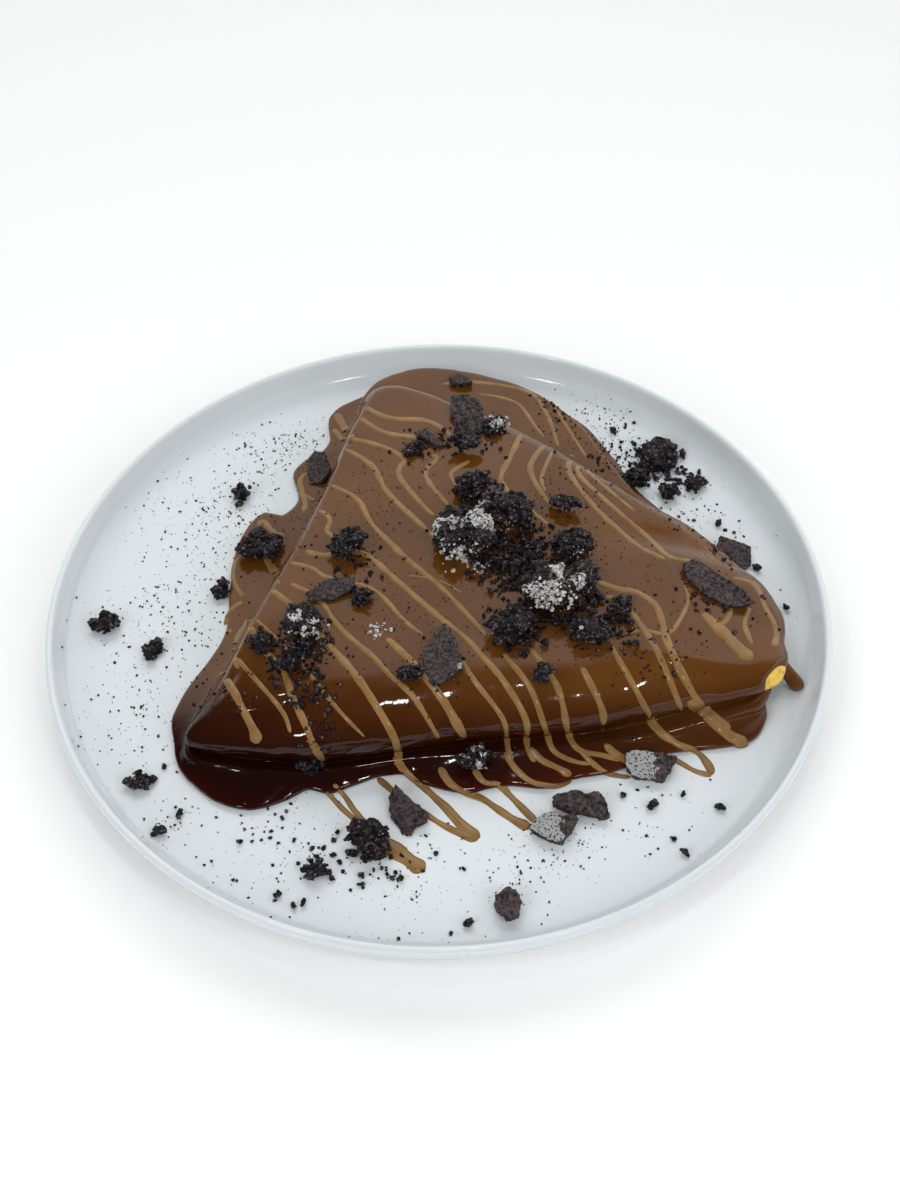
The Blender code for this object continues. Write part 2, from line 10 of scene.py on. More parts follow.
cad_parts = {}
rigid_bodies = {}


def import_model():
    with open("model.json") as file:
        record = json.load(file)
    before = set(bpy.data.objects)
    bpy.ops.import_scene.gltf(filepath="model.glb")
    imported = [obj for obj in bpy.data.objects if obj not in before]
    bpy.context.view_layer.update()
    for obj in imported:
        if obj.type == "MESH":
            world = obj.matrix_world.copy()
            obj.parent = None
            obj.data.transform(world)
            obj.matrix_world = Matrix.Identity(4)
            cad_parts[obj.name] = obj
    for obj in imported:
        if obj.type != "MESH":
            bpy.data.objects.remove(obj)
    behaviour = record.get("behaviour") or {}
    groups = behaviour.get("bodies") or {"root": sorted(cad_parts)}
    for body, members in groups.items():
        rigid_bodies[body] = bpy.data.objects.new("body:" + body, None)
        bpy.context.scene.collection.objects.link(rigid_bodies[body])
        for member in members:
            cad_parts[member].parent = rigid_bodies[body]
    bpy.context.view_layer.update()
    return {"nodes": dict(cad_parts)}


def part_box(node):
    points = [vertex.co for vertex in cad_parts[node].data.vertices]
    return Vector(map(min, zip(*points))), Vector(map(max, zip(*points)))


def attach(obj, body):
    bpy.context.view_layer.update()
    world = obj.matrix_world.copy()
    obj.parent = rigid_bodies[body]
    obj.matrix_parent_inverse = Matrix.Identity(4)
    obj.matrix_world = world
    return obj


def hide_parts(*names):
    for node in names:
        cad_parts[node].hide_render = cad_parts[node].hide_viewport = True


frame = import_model()

# ---------------------------------------------------------------- view, table and light
# The dish stands on a plain pale table top and is seen from a seat at the table, from the
# front and about fifty degrees up. The light is soft and comes from high up and behind.
CAMERA_TARGET = Vector((0.0040, -0.0047, 0.020))
CAMERA_DISTANCE = 0.454
CAMERA_RISE = math.radians(49.75)
CAMERA_ROLL = math.radians(-0.78)


def placed(name, data):
    """A new object in the scene that holds this mesh, curve, light or camera."""
    thing = bpy.data.objects.new(name, data)
    bpy.context.scene.collection.objects.link(thing)
    return thing


def feed(tree, target, sockets):
    """Each socket of a shader node is given a value, or the output of another node."""
    for socket, value in sockets.items():
        if isinstance(value, bpy.types.NodeSocket):
            tree.links.new(value, target.inputs[socket])
        else:
            target.inputs[socket].default_value = value


def node(tree, kind, sockets=None, **settings):
    """A new shader node with its settings and sockets."""
    made = tree.nodes.new("ShaderNode" + kind)
    for setting, value in settings.items():
        setattr(made, setting, value)
    feed(tree, made, sockets or {})
    return made


def shades(tree, share, stops):
    """Colours along a ramp, from pairs of place and colour."""
    ramp = node(tree, "ValToRGB", {0: share})
    steps = ramp.color_ramp.elements
    for step, (place, colour) in ((steps[0], stops[0]), (steps[1], stops[-1])):
        step.position = place
        step.color = (*colour, 1)
    for place, colour in stops[1:-1]:
        steps.new(place).color = (*colour, 1)
    return ramp.outputs[0]


def new_paint(name):
    """A new material and its node tree."""
    paint = bpy.data.materials.new(name)
    paint.use_nodes = True
    return paint, paint.node_tree


def dress(tree, sockets):
    """Values and outputs for the sockets of the material's own shader."""
    feed(tree, tree.nodes["Principled BSDF"], sockets)


ahead = Vector((0, math.cos(CAMERA_RISE), -math.sin(CAMERA_RISE)))
across = Vector((1, 0, 0))
upward = across.cross(ahead)
cam_x = math.cos(CAMERA_ROLL) * across + math.sin(CAMERA_ROLL) * upward
cam_y = -math.sin(CAMERA_ROLL) * across + math.cos(CAMERA_ROLL) * upward
eye = CAMERA_TARGET - CAMERA_DISTANCE * ahead
camera_data = bpy.data.cameras.new("seat_camera")
camera_data.lens = 39.42
camera_data.sensor_width = 36
camera_data.clip_start = 0.01
camera = placed("seat_camera", camera_data)
camera.matrix_world = Matrix((
    (cam_x.x, cam_y.x, -ahead.x, eye.x),
    (cam_x.y, cam_y.y, -ahead.y, eye.y),
    (cam_x.z, cam_y.z, -ahead.z, eye.z),
    (0, 0, 0, 1),
))
bpy.context.scene.camera = camera
bpy.context.scene.view_settings.view_transform = "Standard"


def soft_light(name, size, power, place, tint=(1, 1, 1)):
    """A flat lamp at a place, turned to the middle of the dish."""
    data = bpy.data.lights.new(name, "AREA")
    data.shape = "RECTANGLE"
    data.size, data.size_y = size
    data.energy = power
    data.color = tint
    light = placed(name, data)
    light.location = place
    light.rotation_euler = (Vector(place) - Vector((0, 0, 0.01))).to_track_quat("Z", "Y").to_euler()
    return light


# the wide lights are too soft to show in the gloss; only the three small lamps glint
for light in (
    soft_light("window_behind", (1.5, 0.9), 6.9, (-0.12, 0.85, 0.95), tint=(0.97, 0.99, 1.0)),
    soft_light("bounce_in_front", (1.4, 1.0), 2.4, (0.0, -0.65, 1.05)),
    soft_light("left_bounce", (0.9, 0.8), 8.0, (-0.85, -0.80, 0.70)),
    soft_light("right_bounce", (0.9, 0.8), 7.2, (0.85, -0.80, 0.70)),
    soft_light("side_bounce", (0.9, 0.8), 2.4, (1.15, 0.10, 0.48)),
):
    light.visible_glossy = False
soft_light("lamp_right", (0.06, 0.035), 0.42, (0.28, -0.42, 0.74))
soft_light("lamp_left", (0.06, 0.035), 0.42, (-0.34, -0.36, 0.78))
soft_light("lamp_above", (0.05, 0.05), 0.42, (0.02, -0.08, 0.95))

world = bpy.data.worlds.new("room")
bpy.context.scene.world = world
world.use_nodes = True
sky = world.node_tree
# the room is bright behind the dish and dark in front of it, a little brighter at the right
heading = node(sky, "SeparateXYZ", {0: node(sky, "TexCoord").outputs["Generated"]}).outputs
rightwards = node(sky, "Math", {0: heading["X"], 1: 0.10, 2: 0.5}, operation="MULTIPLY_ADD")
backwards = node(sky, "Math", {0: heading["Y"], 1: 0.5, 2: rightwards.outputs[0]},
                 operation="MULTIPLY_ADD")
feed(sky, sky.nodes["Background"], {
    "Color": shades(sky, backwards.outputs[0], [
        (0.655, (0.07, 0.066, 0.066)), (0.775, (0.95, 0.96, 0.94))]),
    "Strength": 1.0,
})

bpy.ops.mesh.primitive_plane_add(size=6, location=(0, 0, -0.0002))
table_top = bpy.context.active_object
table_top.name = "table_top"
table_paint, tree = new_paint("pale_table")
dress(tree, {
    "Base Color": (0.86, 0.86, 0.86, 1), "Roughness": 0.7, "Specular IOR Level": 0.1,
    "Emission Color": (1, 1, 1, 1), "Emission Strength": 0.04,
})
table_top.data.materials.append(table_paint)

# ---------------------------------------------------------------- plate
# A round coupe plate of white glazed porcelain, jiggered on a wheel: a flat floor, a coved
# wall, a rounded lip and a foot ring.
MM = 0.001
PLATE_RINGS = [
    (60, 8.0), (118, 8.0), (121, 8.03), (124, 8.35), (126.5, 9.1), (128.6, 10.4),
    (130.2, 12.2), (131.2, 14.4), (131.8, 16.8), (132.1, 18.6), (132.5, 19.5), (133.2, 19.95),
    (133.9, 19.9), (134.6, 19.4), (134.9, 18.4), (134.8, 17.0), (134.0, 14.0), (132.2, 10.8),
    (129, 8.0), (124.5, 5.9), (117, 4.4), (105, 3.2), (92, 2.7), (87.6, 2.5), (86.6, 1.9),
    (86.1, 0.5), (85.2, 0.0), (81.0, 0.0), (80.1, 0.5), (79.4, 1.9), (78.4, 2.6), (40, 2.6),
]
bpy.ops.mesh.primitive_circle_add(
    vertices=160, radius=30 * MM, fill_type="NGON", location=(0, 0, 8.0 * MM)
)
plate = bpy.context.active_object
plate.name = "porcelain_plate"
bpy.ops.object.mode_set(mode="EDIT")
ring_radius, ring_height = 30.0, 8.0
bpy.ops.mesh.select_mode(type="EDGE")
bpy.ops.mesh.select_all(action="DESELECT")
bpy.ops.mesh.select_non_manifold()
for radius, height in PLATE_RINGS:
    grow = radius / ring_radius
    bpy.ops.mesh.extrude_edges_move(
        TRANSFORM_OT_translate={"value": (0, 0, (height - ring_height) * MM)}
    )
    bpy.ops.transform.resize(value=(grow, grow, 1), center_override=(0, 0, 0))
    ring_radius, ring_height = radius, height
bpy.ops.mesh.edge_face_add()
bpy.ops.mesh.select_all(action="SELECT")
bpy.ops.mesh.normals_make_consistent(inside=False)
bpy.ops.object.mode_set(mode="OBJECT")
bpy.ops.object.transform_apply(location=True, rotation=True, scale=True)
bpy.ops.object.shade_smooth()


def cloudy(tree, scale, detail=2, roughness=0.5):
    """Noise on the piece's own coordinates."""
    return node(tree, "TexNoise", {
        "Vector": node(tree, "TexCoord").outputs["Object"],
        "Scale": scale, "Detail": detail, "Roughness": roughness,
    }).outputs["Fac"]


def dents(tree, height, strength, distance, over=None):
    """Relief in a finish, on top of other relief if there is some."""
    sockets = {"Height": height, "Strength": strength, "Distance": distance}
    if over is not None:
        sockets["Normal"] = over
    return node(tree, "Bump", sockets).outputs[0]


glaze, tree = new_paint("white_glaze")
dress(tree, {
    "Base Color": shades(tree, cloudy(tree, 18, 3), [
        (0, (0.60, 0.645, 0.67)), (1, (0.65, 0.69, 0.715))]),
    "Roughness": 0.16, "Coat Weight": 0.35, "Coat Roughness": 0.05,
    "Normal": dents(tree, cloudy(tree, 120), 0.02, 0.001),
})
plate.data.materials.append(glaze)
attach(plate, "root")
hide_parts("plate")

# ---------------------------------------------------------------- folded crepe
# A thin round batter crepe, fried yellow with brown freckles, folded in half and then in
# thirds. The upper flap overhangs a lower one, and only its right tip shows past the sauce.
MIDDLE = np.array((14.0, 0.0))
STATIONS = 420
FLOOR = 8.35
UPPER_FLAP = [
    (-80, -58), (-67, -63.2), (-52, -65.8), (-38, -66.6), (-17, -63.8), (0, -61), (13, -59.2),
    (39, -57.2), (54, -55.3), (64, -53), (80, -49.6), (93, -47.2), (104, -44), (111, -41),
    (114.6, -36), (115.2, -30), (114.6, -24), (116, -12), (109, 5), (92, 23), (74, 35), (57, 50),
    (38, 68), (13, 86), (-8, 97), (-23, 98), (-30, 82), (-41, 40), (-51, 8), (-69, -38),
]
LOWER_FLAP = [
    (-81, -61), (-66, -67.5), (-52, -69), (-40, -69), (-27, -67.6), (-14, -65.2), (0, -63.8),
    (40, -61), (64, -57.5), (80, -54.5), (100, -48.5), (106, -43.5), (109, -38), (111.5, -31),
    (114, -22), (117, -12), (111, 4), (95, 26), (79, 42), (67, 62),
    (52, 91), (29, 110), (-4, 118), (-25, 108), (-34, 86), (-46, 42), (-58, 10), (-75, -36),
]
POOL_EDGE = [
    (-87, -53), (-84, -64), (-73, -76), (-60, -80.5), (-49, -77.5), (-42, -73.5), (-35, -75),
    (-27, -72), (-14, -67.5), (-5, -72), (8, -75.5), (20, -73), (33, -74), (44, -70.5),
    (55, -68.5), (72, -62), (90, -60), (102, -57), (108, -48), (108, -41), (113, -32),
    (116, -26), (117, -12), (112, 6), (98, 29), (84, 46), (74, 60), (68, 76), (56, 97),
    (31, 114), (-4, 121), (-24, 116), (-37, 109), (-43, 101.5), (-43.4, 94), (-42.4, 87),
    (-46.5, 79), (-52.5, 75), (-55.8, 69), (-54.4, 62.5), (-52.8, 56), (-54.5, 50.8),
    (-59.6, 46.2), (-65, 48.2), (-69, 45), (-72, 38), (-74.2, 29.6), (-74.6, 16), (-74.4, 6),
    (-73.6, -3), (-75, -13), (-77.8, -20), (-82.3, -29), (-86, -38), (-88, -46),
]


def smooth_step(low, high, value):
    """Nothing up to low, one from high on, and a soft slope between them."""
    t = np.clip((np.asarray(value, float) - low) / (high - low), 0, 1)
    return t * t * (3 - 2 * t)


def bump(distance, width):
    """One at no distance, and a soft fall to nothing at about twice the width."""
    return np.exp(-((np.asarray(distance, float) / width) ** 2))


def through(points, steps, closed=True):
    """Points of a smooth curve through the given ones."""
    pts = np.array(points, float)
    count = len(pts)
    spans = count if closed else count - 1
    out = []
    for i in range(spans):
        if closed:
            a, b, c, d = (pts[(i + k) % count] for k in (-1, 0, 1, 2))
        else:
            a, b, c, d = pts[max(i - 1, 0)], pts[i], pts[i + 1], pts[min(i + 2, count - 1)]
        for t in np.arange(steps) / steps:
            out.append(0.5 * (2 * b + (c - a) * t + (2 * a - 5 * b + 4 * c - d) * t ** 2
                              + (3 * b - a - 3 * c + d) * t ** 3))
    if not closed:
        out.append(pts[-1])
    return np.array(out)


def away_from(spots, x, y):
    """How far each spot lies from a place."""
    return np.linalg.norm(spots - (x, y), axis=1)


def evenly(line, count, closed=True):
    """The line again as points the same distance apart."""
    loop = np.vstack([line, line[:1]]) if closed else line
    length = np.concatenate([[0], np.cumsum(np.linalg.norm(np.diff(loop, axis=0), axis=1))])
    at = np.linspace(0, length[-1], count, endpoint=not closed)
    return np.stack([np.interp(at, length, loop[:, k]) for k in range(loop.shape[1])], 1)


def reach(line, ways):
    """How far a closed line lies from the middle along each direction."""
    a = line - MIDDLE
    edge = np.roll(line, -1, 0) - line
    cross = ways[:, None, 0] * edge[None, :, 1] - ways[:, None, 1] * edge[None, :, 0]
    cross = np.where(np.abs(cross) < 1e-9, 1e-9, cross)
    along = (a[:, 0] * edge[:, 1] - a[:, 1] * edge[:, 0])[None] / cross
    share = (a[None, :, 0] * ways[:, None, 1] - a[None, :, 1] * ways[:, None, 0]) / cross
    good = (along > 0) & (share >= -1e-6) & (share <= 1 + 1e-6)
    return np.where(good, along, 0).max(1)


def top_height(x, y):
    """Height of the crepe's top: it drops to its point and to its open edge."""
    x, y = np.asarray(x, float), np.asarray(y, float)
    height = 30.0 - 8.0 * bump(np.hypot(x + 80, y + 58), 26)
    height = height - 1.6 * smooth_step(35, 95, y) - 8.0 * smooth_step(70, 116, x)
    height = height - 1.6 * smooth_step(60, 95, 0.62 * x + 0.78 * y)
    valley = np.abs(y - 14 + 0.12 * (x - 76))
    height = height - 2.2 * bump(valley, 6) * smooth_step(55, 80, x)
    return height + 0.8 * np.sin(x / 21 + 0.6) * np.sin(y / 17 - 0.4)


rim_line = evenly(through(LOWER_FLAP, 8), STATIONS)
ways = (rim_line - MIDDLE) / np.linalg.norm(rim_line - MIDDLE, axis=1)[:, None]
upper = reach(through(UPPER_FLAP, 8), ways)
lower = reach(through(LOWER_FLAP, 8), ways)
edge_xy = MIDDLE + ways * upper[:, None]
open_side = smooth_step(98, 112, edge_xy[:, 0])
pool = np.maximum(reach(through(POOL_EDGE, 8), ways), lower + 3.4 - 2.4 * open_side)
front = np.where(edge_xy[:, 1] < -30, smooth_step(0.35, 0.75, -ways[:, 1]), 0.0)
left = smooth_step(0.30, 0.65, -ways[:, 0]) * (1 - front)
rear = 13.5 + 5.5 * smooth_step(30, 105, edge_xy[:, 1])
ledge = 11.9 * front + 12.5 * left + rear * (1 - front - left)
ledge = ledge + 4.6 * front * smooth_step(66, 110, edge_xy[:, 0])
thin_tip = bump(away_from(edge_xy, 116.0, -32.0), 20)
ledge = np.minimum(ledge, top_height(*edge_xy.T) - 7.5 + 3.2 * thin_tip)
roll = (25.0 - 13.0 * smooth_step(84, 112, edge_xy[:, 0])) * front
point = bump(away_from(edge_xy, -82.0, -52.0), 24)
roll = roll + (3.0 + 5.0 * point) * left + 7.0 * (1 - front - left)
lift = bump(away_from(edge_xy, 118.0, -27.0), 22)
bare = bump(away_from(edge_xy, 112.0, -39.6), 5.6)


def rounded(rows, steps):
    """Sections rounded as a soft body is: each a smooth curve drawn in by its corners."""
    rows = np.concatenate([rows[:, :1], rows[:, :1], rows, rows[:, -1:], rows[:, -1:]], 1)
    out = []
    for k in range(rows.shape[1] - 3):
        p0, p1, p2, p3 = (rows[:, k + i] for i in range(4))
        for t in np.arange(steps) / steps:
            out.append(((1 - t) ** 3 * p0 + (3 * t ** 3 - 6 * t ** 2 + 4) * p1
                        + (-3 * t ** 3 + 3 * t ** 2 + 3 * t + 1) * p2 + t ** 3 * p3) / 6)
    out.append(rows[:, -1])
    return np.stack(out, 1)


def folded_body(name, outer_rows, cover):
    """A closed body through every station's rows and over the top to the middle."""
    edge = MIDDLE + ways * (upper - roll)[:, None]
    base = np.stack([np.stack(row, 1) for row in outer_rows], 1)
    shares = np.linspace(1, 0.0, 17)[:-1]
    spots = MIDDLE + (edge - MIDDLE)[:, None] * shares[None, :, None]
    tops = np.stack([
        (upper - roll)[:, None] * shares[None],
        top_height(spots[..., 0], spots[..., 1]) + cover,
    ], 2)
    rows = rounded(np.concatenate([base, tops], 1), 4)[:, :-1]
    count = rows.shape[1]
    xy = MIDDLE + ways[:, None] * rows[..., :1]
    verts = np.concatenate([xy, rows[..., 1:]], 2).reshape(-1, 3)
    crown = (*MIDDLE, float(top_height(*MIDDLE)) + cover)
    foot = (*MIDDLE, float(rows[0, 0, 1]))
    verts = np.vstack([verts, [crown, foot]]) * MM
    faces = []
    for i in range(STATIONS):
        j = (i + 1) % STATIONS
        faces += [(i * count + k, j * count + k, j * count + k + 1, i * count + k + 1)
                  for k in range(count - 1)]
        faces.append((i * count + count - 1, j * count + count - 1, len(verts) - 2))
        faces.append((len(verts) - 1, j * count, i * count))
    mesh = bpy.data.meshes.new(name)
    mesh.from_pydata(verts.tolist(), [], faces)
    mesh.shade_smooth()
    return placed(name, mesh)


rise = top_height(*edge_xy.T) - ledge
thick = ledge - FLOOR
groove = np.minimum(upper - 1.8, lower - 3.6)
full = 0.12 - 0.075 * front * (1 - smooth_step(-30, 40, edge_xy[:, 0]))
crepe = folded_body("folded_crepe", [
    (lower - 6.0 - 7.0 * lift, FLOOR + 0 * lower),
    (lower - 3.0 - 7.0 * lift, FLOOR + 0 * lower),
    (lower - 0.6, FLOOR + (0.25 + 0.3 * lift) * thick),
    (lower - 0.2, FLOOR + 0.8 * thick),
    (lower - 1.8, ledge + 0.4),
    (groove, ledge + 0.2),
    (groove, ledge + 0.9),
    (upper - 0.2, ledge + 0.28 * rise),
    (upper + 0.6, ledge + 0.50 * rise),
    (upper - full * roll, ledge + 0.76 * rise),
    (upper - 0.42 * roll, ledge + 0.94 * rise),
    (upper - 0.75 * roll, ledge + rise),
], 0.0)

fried, tree = new_paint("fried_batter")
dress(tree, {
    "Base Color": shades(tree, cloudy(tree, 420, 4), [
        (0.36, (0.62, 0.36, 0.06)), (0.48, (0.80, 0.55, 0.10))]),
    "Roughness": 0.42, "Subsurface Weight": 0.25,
    "Subsurface Radius": (0.003, 0.0015, 0.0006), "Subsurface Scale": 1.0,
})
crepe.data.materials.append(fried)
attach(crepe, "root")
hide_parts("crepe")

# ---------------------------------------------------------------- chocolate sauce
# Warm milk chocolate sauce ladled over the folded crepe. It coats every fold, gathers in
# the groove between the flaps and runs out over the plate in a shallow round-edged pool.
deep = FLOOR + 2.6
foot = np.maximum(lower + 1.1, np.minimum(lower + 2.6, pool - 2.4))
lobe = bump(away_from(MIDDLE + ways * lower[:, None], 105.0, -46.0), 8)
mound = np.clip(front + left * bump(away_from(edge_xy, -82.0, -52.0), 40), 0, 1)
mound = mound * (1 - 0.9 * lobe)


def either(flat_row, mound_row):
    """A row of the coat: as it lies round the pool, or on the mound along the front fold."""
    return tuple(a * (1 - mound) + b * mound for a, b in zip(flat_row, mound_row))


sauce = folded_body("chocolate_sauce_coat", [
    (pool - 2.6, FLOOR - 0.15 + 0 * pool),
    (pool - 0.6, FLOOR - 0.15 + 0 * pool),
    (pool + 0.5, FLOOR + 0.5 + 0 * pool),
    (pool + 0.3, FLOOR + 1.9 + 0 * pool),
    either((pool - 1.3, deep + 0.1), (pool - 0.7, FLOOR + 2.0 + 0 * pool)),
    either((0.5 * foot + 0.5 * (pool - 1.0), deep - 0.1),
           (0.6 * pool + 0.4 * lower, FLOOR + 2.4 + 0.14 * thick)),
    either((foot + 0.2, deep + 0.12 * (ledge - deep)),
           (0.3 * pool + 0.7 * lower, FLOOR + 2.2 + 0.42 * thick)),
    either((lower + 2.0, FLOOR + 0.60 * thick), (lower + 1.2, ledge + 0.8)),
    either((lower + 2.2, ledge + 0.3), (lower + 0.3, ledge + 1.2)),
    either((lower + 0.6, ledge + 1.9), (lower - 0.8, ledge + 1.2)),
    either((lower - 1.5, ledge + 1.9), (groove + 1.9, ledge + 0.8)),
    either((groove + 1.4, ledge + 1.2), (groove + 1.3, ledge + 0.7)),
    (groove + 1.2, ledge + 2.0),
    # near its right tip the crepe sticks out: there the sauce has run off its edge
    (upper + 1.3 - 4.6 * bare, ledge + 0.26 * rise),
    (upper + 2.3 - 5.2 * bare, ledge + 0.48 * rise),
    (upper + 1.9 - full * roll - 4.2 * bare, ledge + 0.76 * rise + 0.8 - 1.8 * bare),
    (upper + 0.7 - 0.42 * roll - 1.0 * bare, ledge + 0.94 * rise + 1.8 - 0.3 * bare),
    (upper + 0.2 - 0.75 * roll, ledge + rise + 2.1),
], 2.0)

# The skin sags in slow waves, stronger where it runs down the front.
skin = [vertex.normal.copy() for vertex in sauce.data.vertices]
for vertex, normal in zip(sauce.data.vertices, skin):
    spot = vertex.co / MM
    if spot.z > FLOOR + 0.8:
        slope = min(1.0, 1.5 * (1 - normal.z))
        wave = (0.22 + 0.30 * slope) * noise.noise(Vector((spot.x / 9, spot.y / 14, spot.z / 7)))
        wave += (0.05 + 0.12 * slope) * noise.noise(Vector((spot.x / 3.2, spot.y / 5, spot.z / 3)))
        vertex.co += normal * (wave * MM)


def share_of(tree, value, start, end, least=0.0, most=1.0):
    """How far a value has come from start to end, as a number from least to most."""
    return node(tree, "MapRange", {
        "Value": value, "From Min": start, "From Max": end, "To Min": least, "To Max": most,
    }).outputs[0]


def worked_out(tree, operation, first, second, clamp=False):
    """One step of arithmetic on two values."""
    step = node(tree, "Math", {0: first, 1: second}, operation=operation, use_clamp=clamp)
    return step.outputs[0]


def mixed(tree, share, colour, other, how="MIX"):
    """One colour changed by another as far as the share says."""
    sockets = {"Factor": share, "A": colour, "B": other}
    return node(tree, "Mix", sockets, data_type="RGBA", blend_type=how).outputs["Result"]


# The sauce is darker along the front, from the pool up the roll, and darkest at the left.
# Partly this is the deep sauce's own darker colour; partly it is painted shade.
ganache, tree = new_paint("milk_chocolate_sauce")
milky = shades(tree, cloudy(tree, 35, 5), [
    (0.35, (0.091, 0.0312, 0.0046)), (0.65, (0.117, 0.0435, 0.0084))])
at = node(tree, "SeparateXYZ", {0: node(tree, "TexCoord").outputs["Object"]}).outputs
# painted shade in part: this ramp darkens the front of the roll as well as the deep pool
depth_and_shade_by_height = shades(tree, share_of(tree, at["Z"], 0.0086, 0.0300), [
    (0.0, (0.75, 0.26, 0.22)), (0.06, (0.48, 0.12, 0.12)), (0.12, (0.24, 0.09, 0.10)),
    (0.17, (0.22, 0.11, 0.12)), (0.32, (0.34, 0.24, 0.22)), (0.60, (0.45, 0.32, 0.24)),
    (0.84, (0.72, 0.62, 0.52)), (1.0, (1, 1, 1)),
])
in_front = share_of(tree, at["Y"], -0.030, -0.056)
# the painted shade is eased low down at the right, which lightens the lip and pool there
lighter_low_at_right = worked_out(
    tree, "MULTIPLY",
    share_of(tree, at["X"], 0.020, 0.080, most=0.34), share_of(tree, at["Z"], 0.0165, 0.0130),
)
depth_and_painted_shade = worked_out(tree, "SUBTRACT", in_front, lighter_low_at_right, clamp=True)
deepened_and_shaded = mixed(tree, depth_and_painted_shade, milky, depth_and_shade_by_height, "MULTIPLY")
# painted shade: the sauce at the front left is darkened further
painted_shade_front_left = worked_out(tree, "MULTIPLY", in_front, share_of(tree, at["X"], 0.070, -0.045))
dress(tree, {
    "Base Color": mixed(tree, painted_shade_front_left, deepened_and_shaded, (0.42, 0.27, 0.22, 1), "MULTIPLY"),
    "Roughness": 0.07, "IOR": 1.47,
    "Normal": dents(tree, cloudy(tree, 90, 4), 0.12, 0.0015),
})
sauce.data.materials.append(ganache)
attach(sauce, "root")
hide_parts("chocolate_sauce")

# ---------------------------------------------------------------- caramel-brown drizzle
# A thinner, lighter sauce swung to and fro from a spoon. Each thread lies a little proud of
# the chocolate, follows its folds, and runs out onto the plate in narrow loops.
surface_points, surface_faces = [], []
for thing in (plate, crepe, sauce):
    start = len(surface_points)
    surface_points += [vertex.co / MM for vertex in thing.data.vertices]
    surface_faces += [[start + k for k in face.vertices] for face in thing.data.polygons]
ground = BVHTree.FromPolygons(surface_points, surface_faces)
seat = eye / MM
CREPE_LEVEL = 30.0  # places on the crepe are given as the eye sees them on this plane
PLATE_LEVEL = 8.0  # and places on the plate as it sees them on this one


def under_sight(x, y, z):
    """The point and normal of the surface along the line of sight through a point."""
    way = (Vector((x, y, z)) - seat).normalized()
    spot, normal, _, _ = ground.ray_cast(seat, way)
    return spot, normal


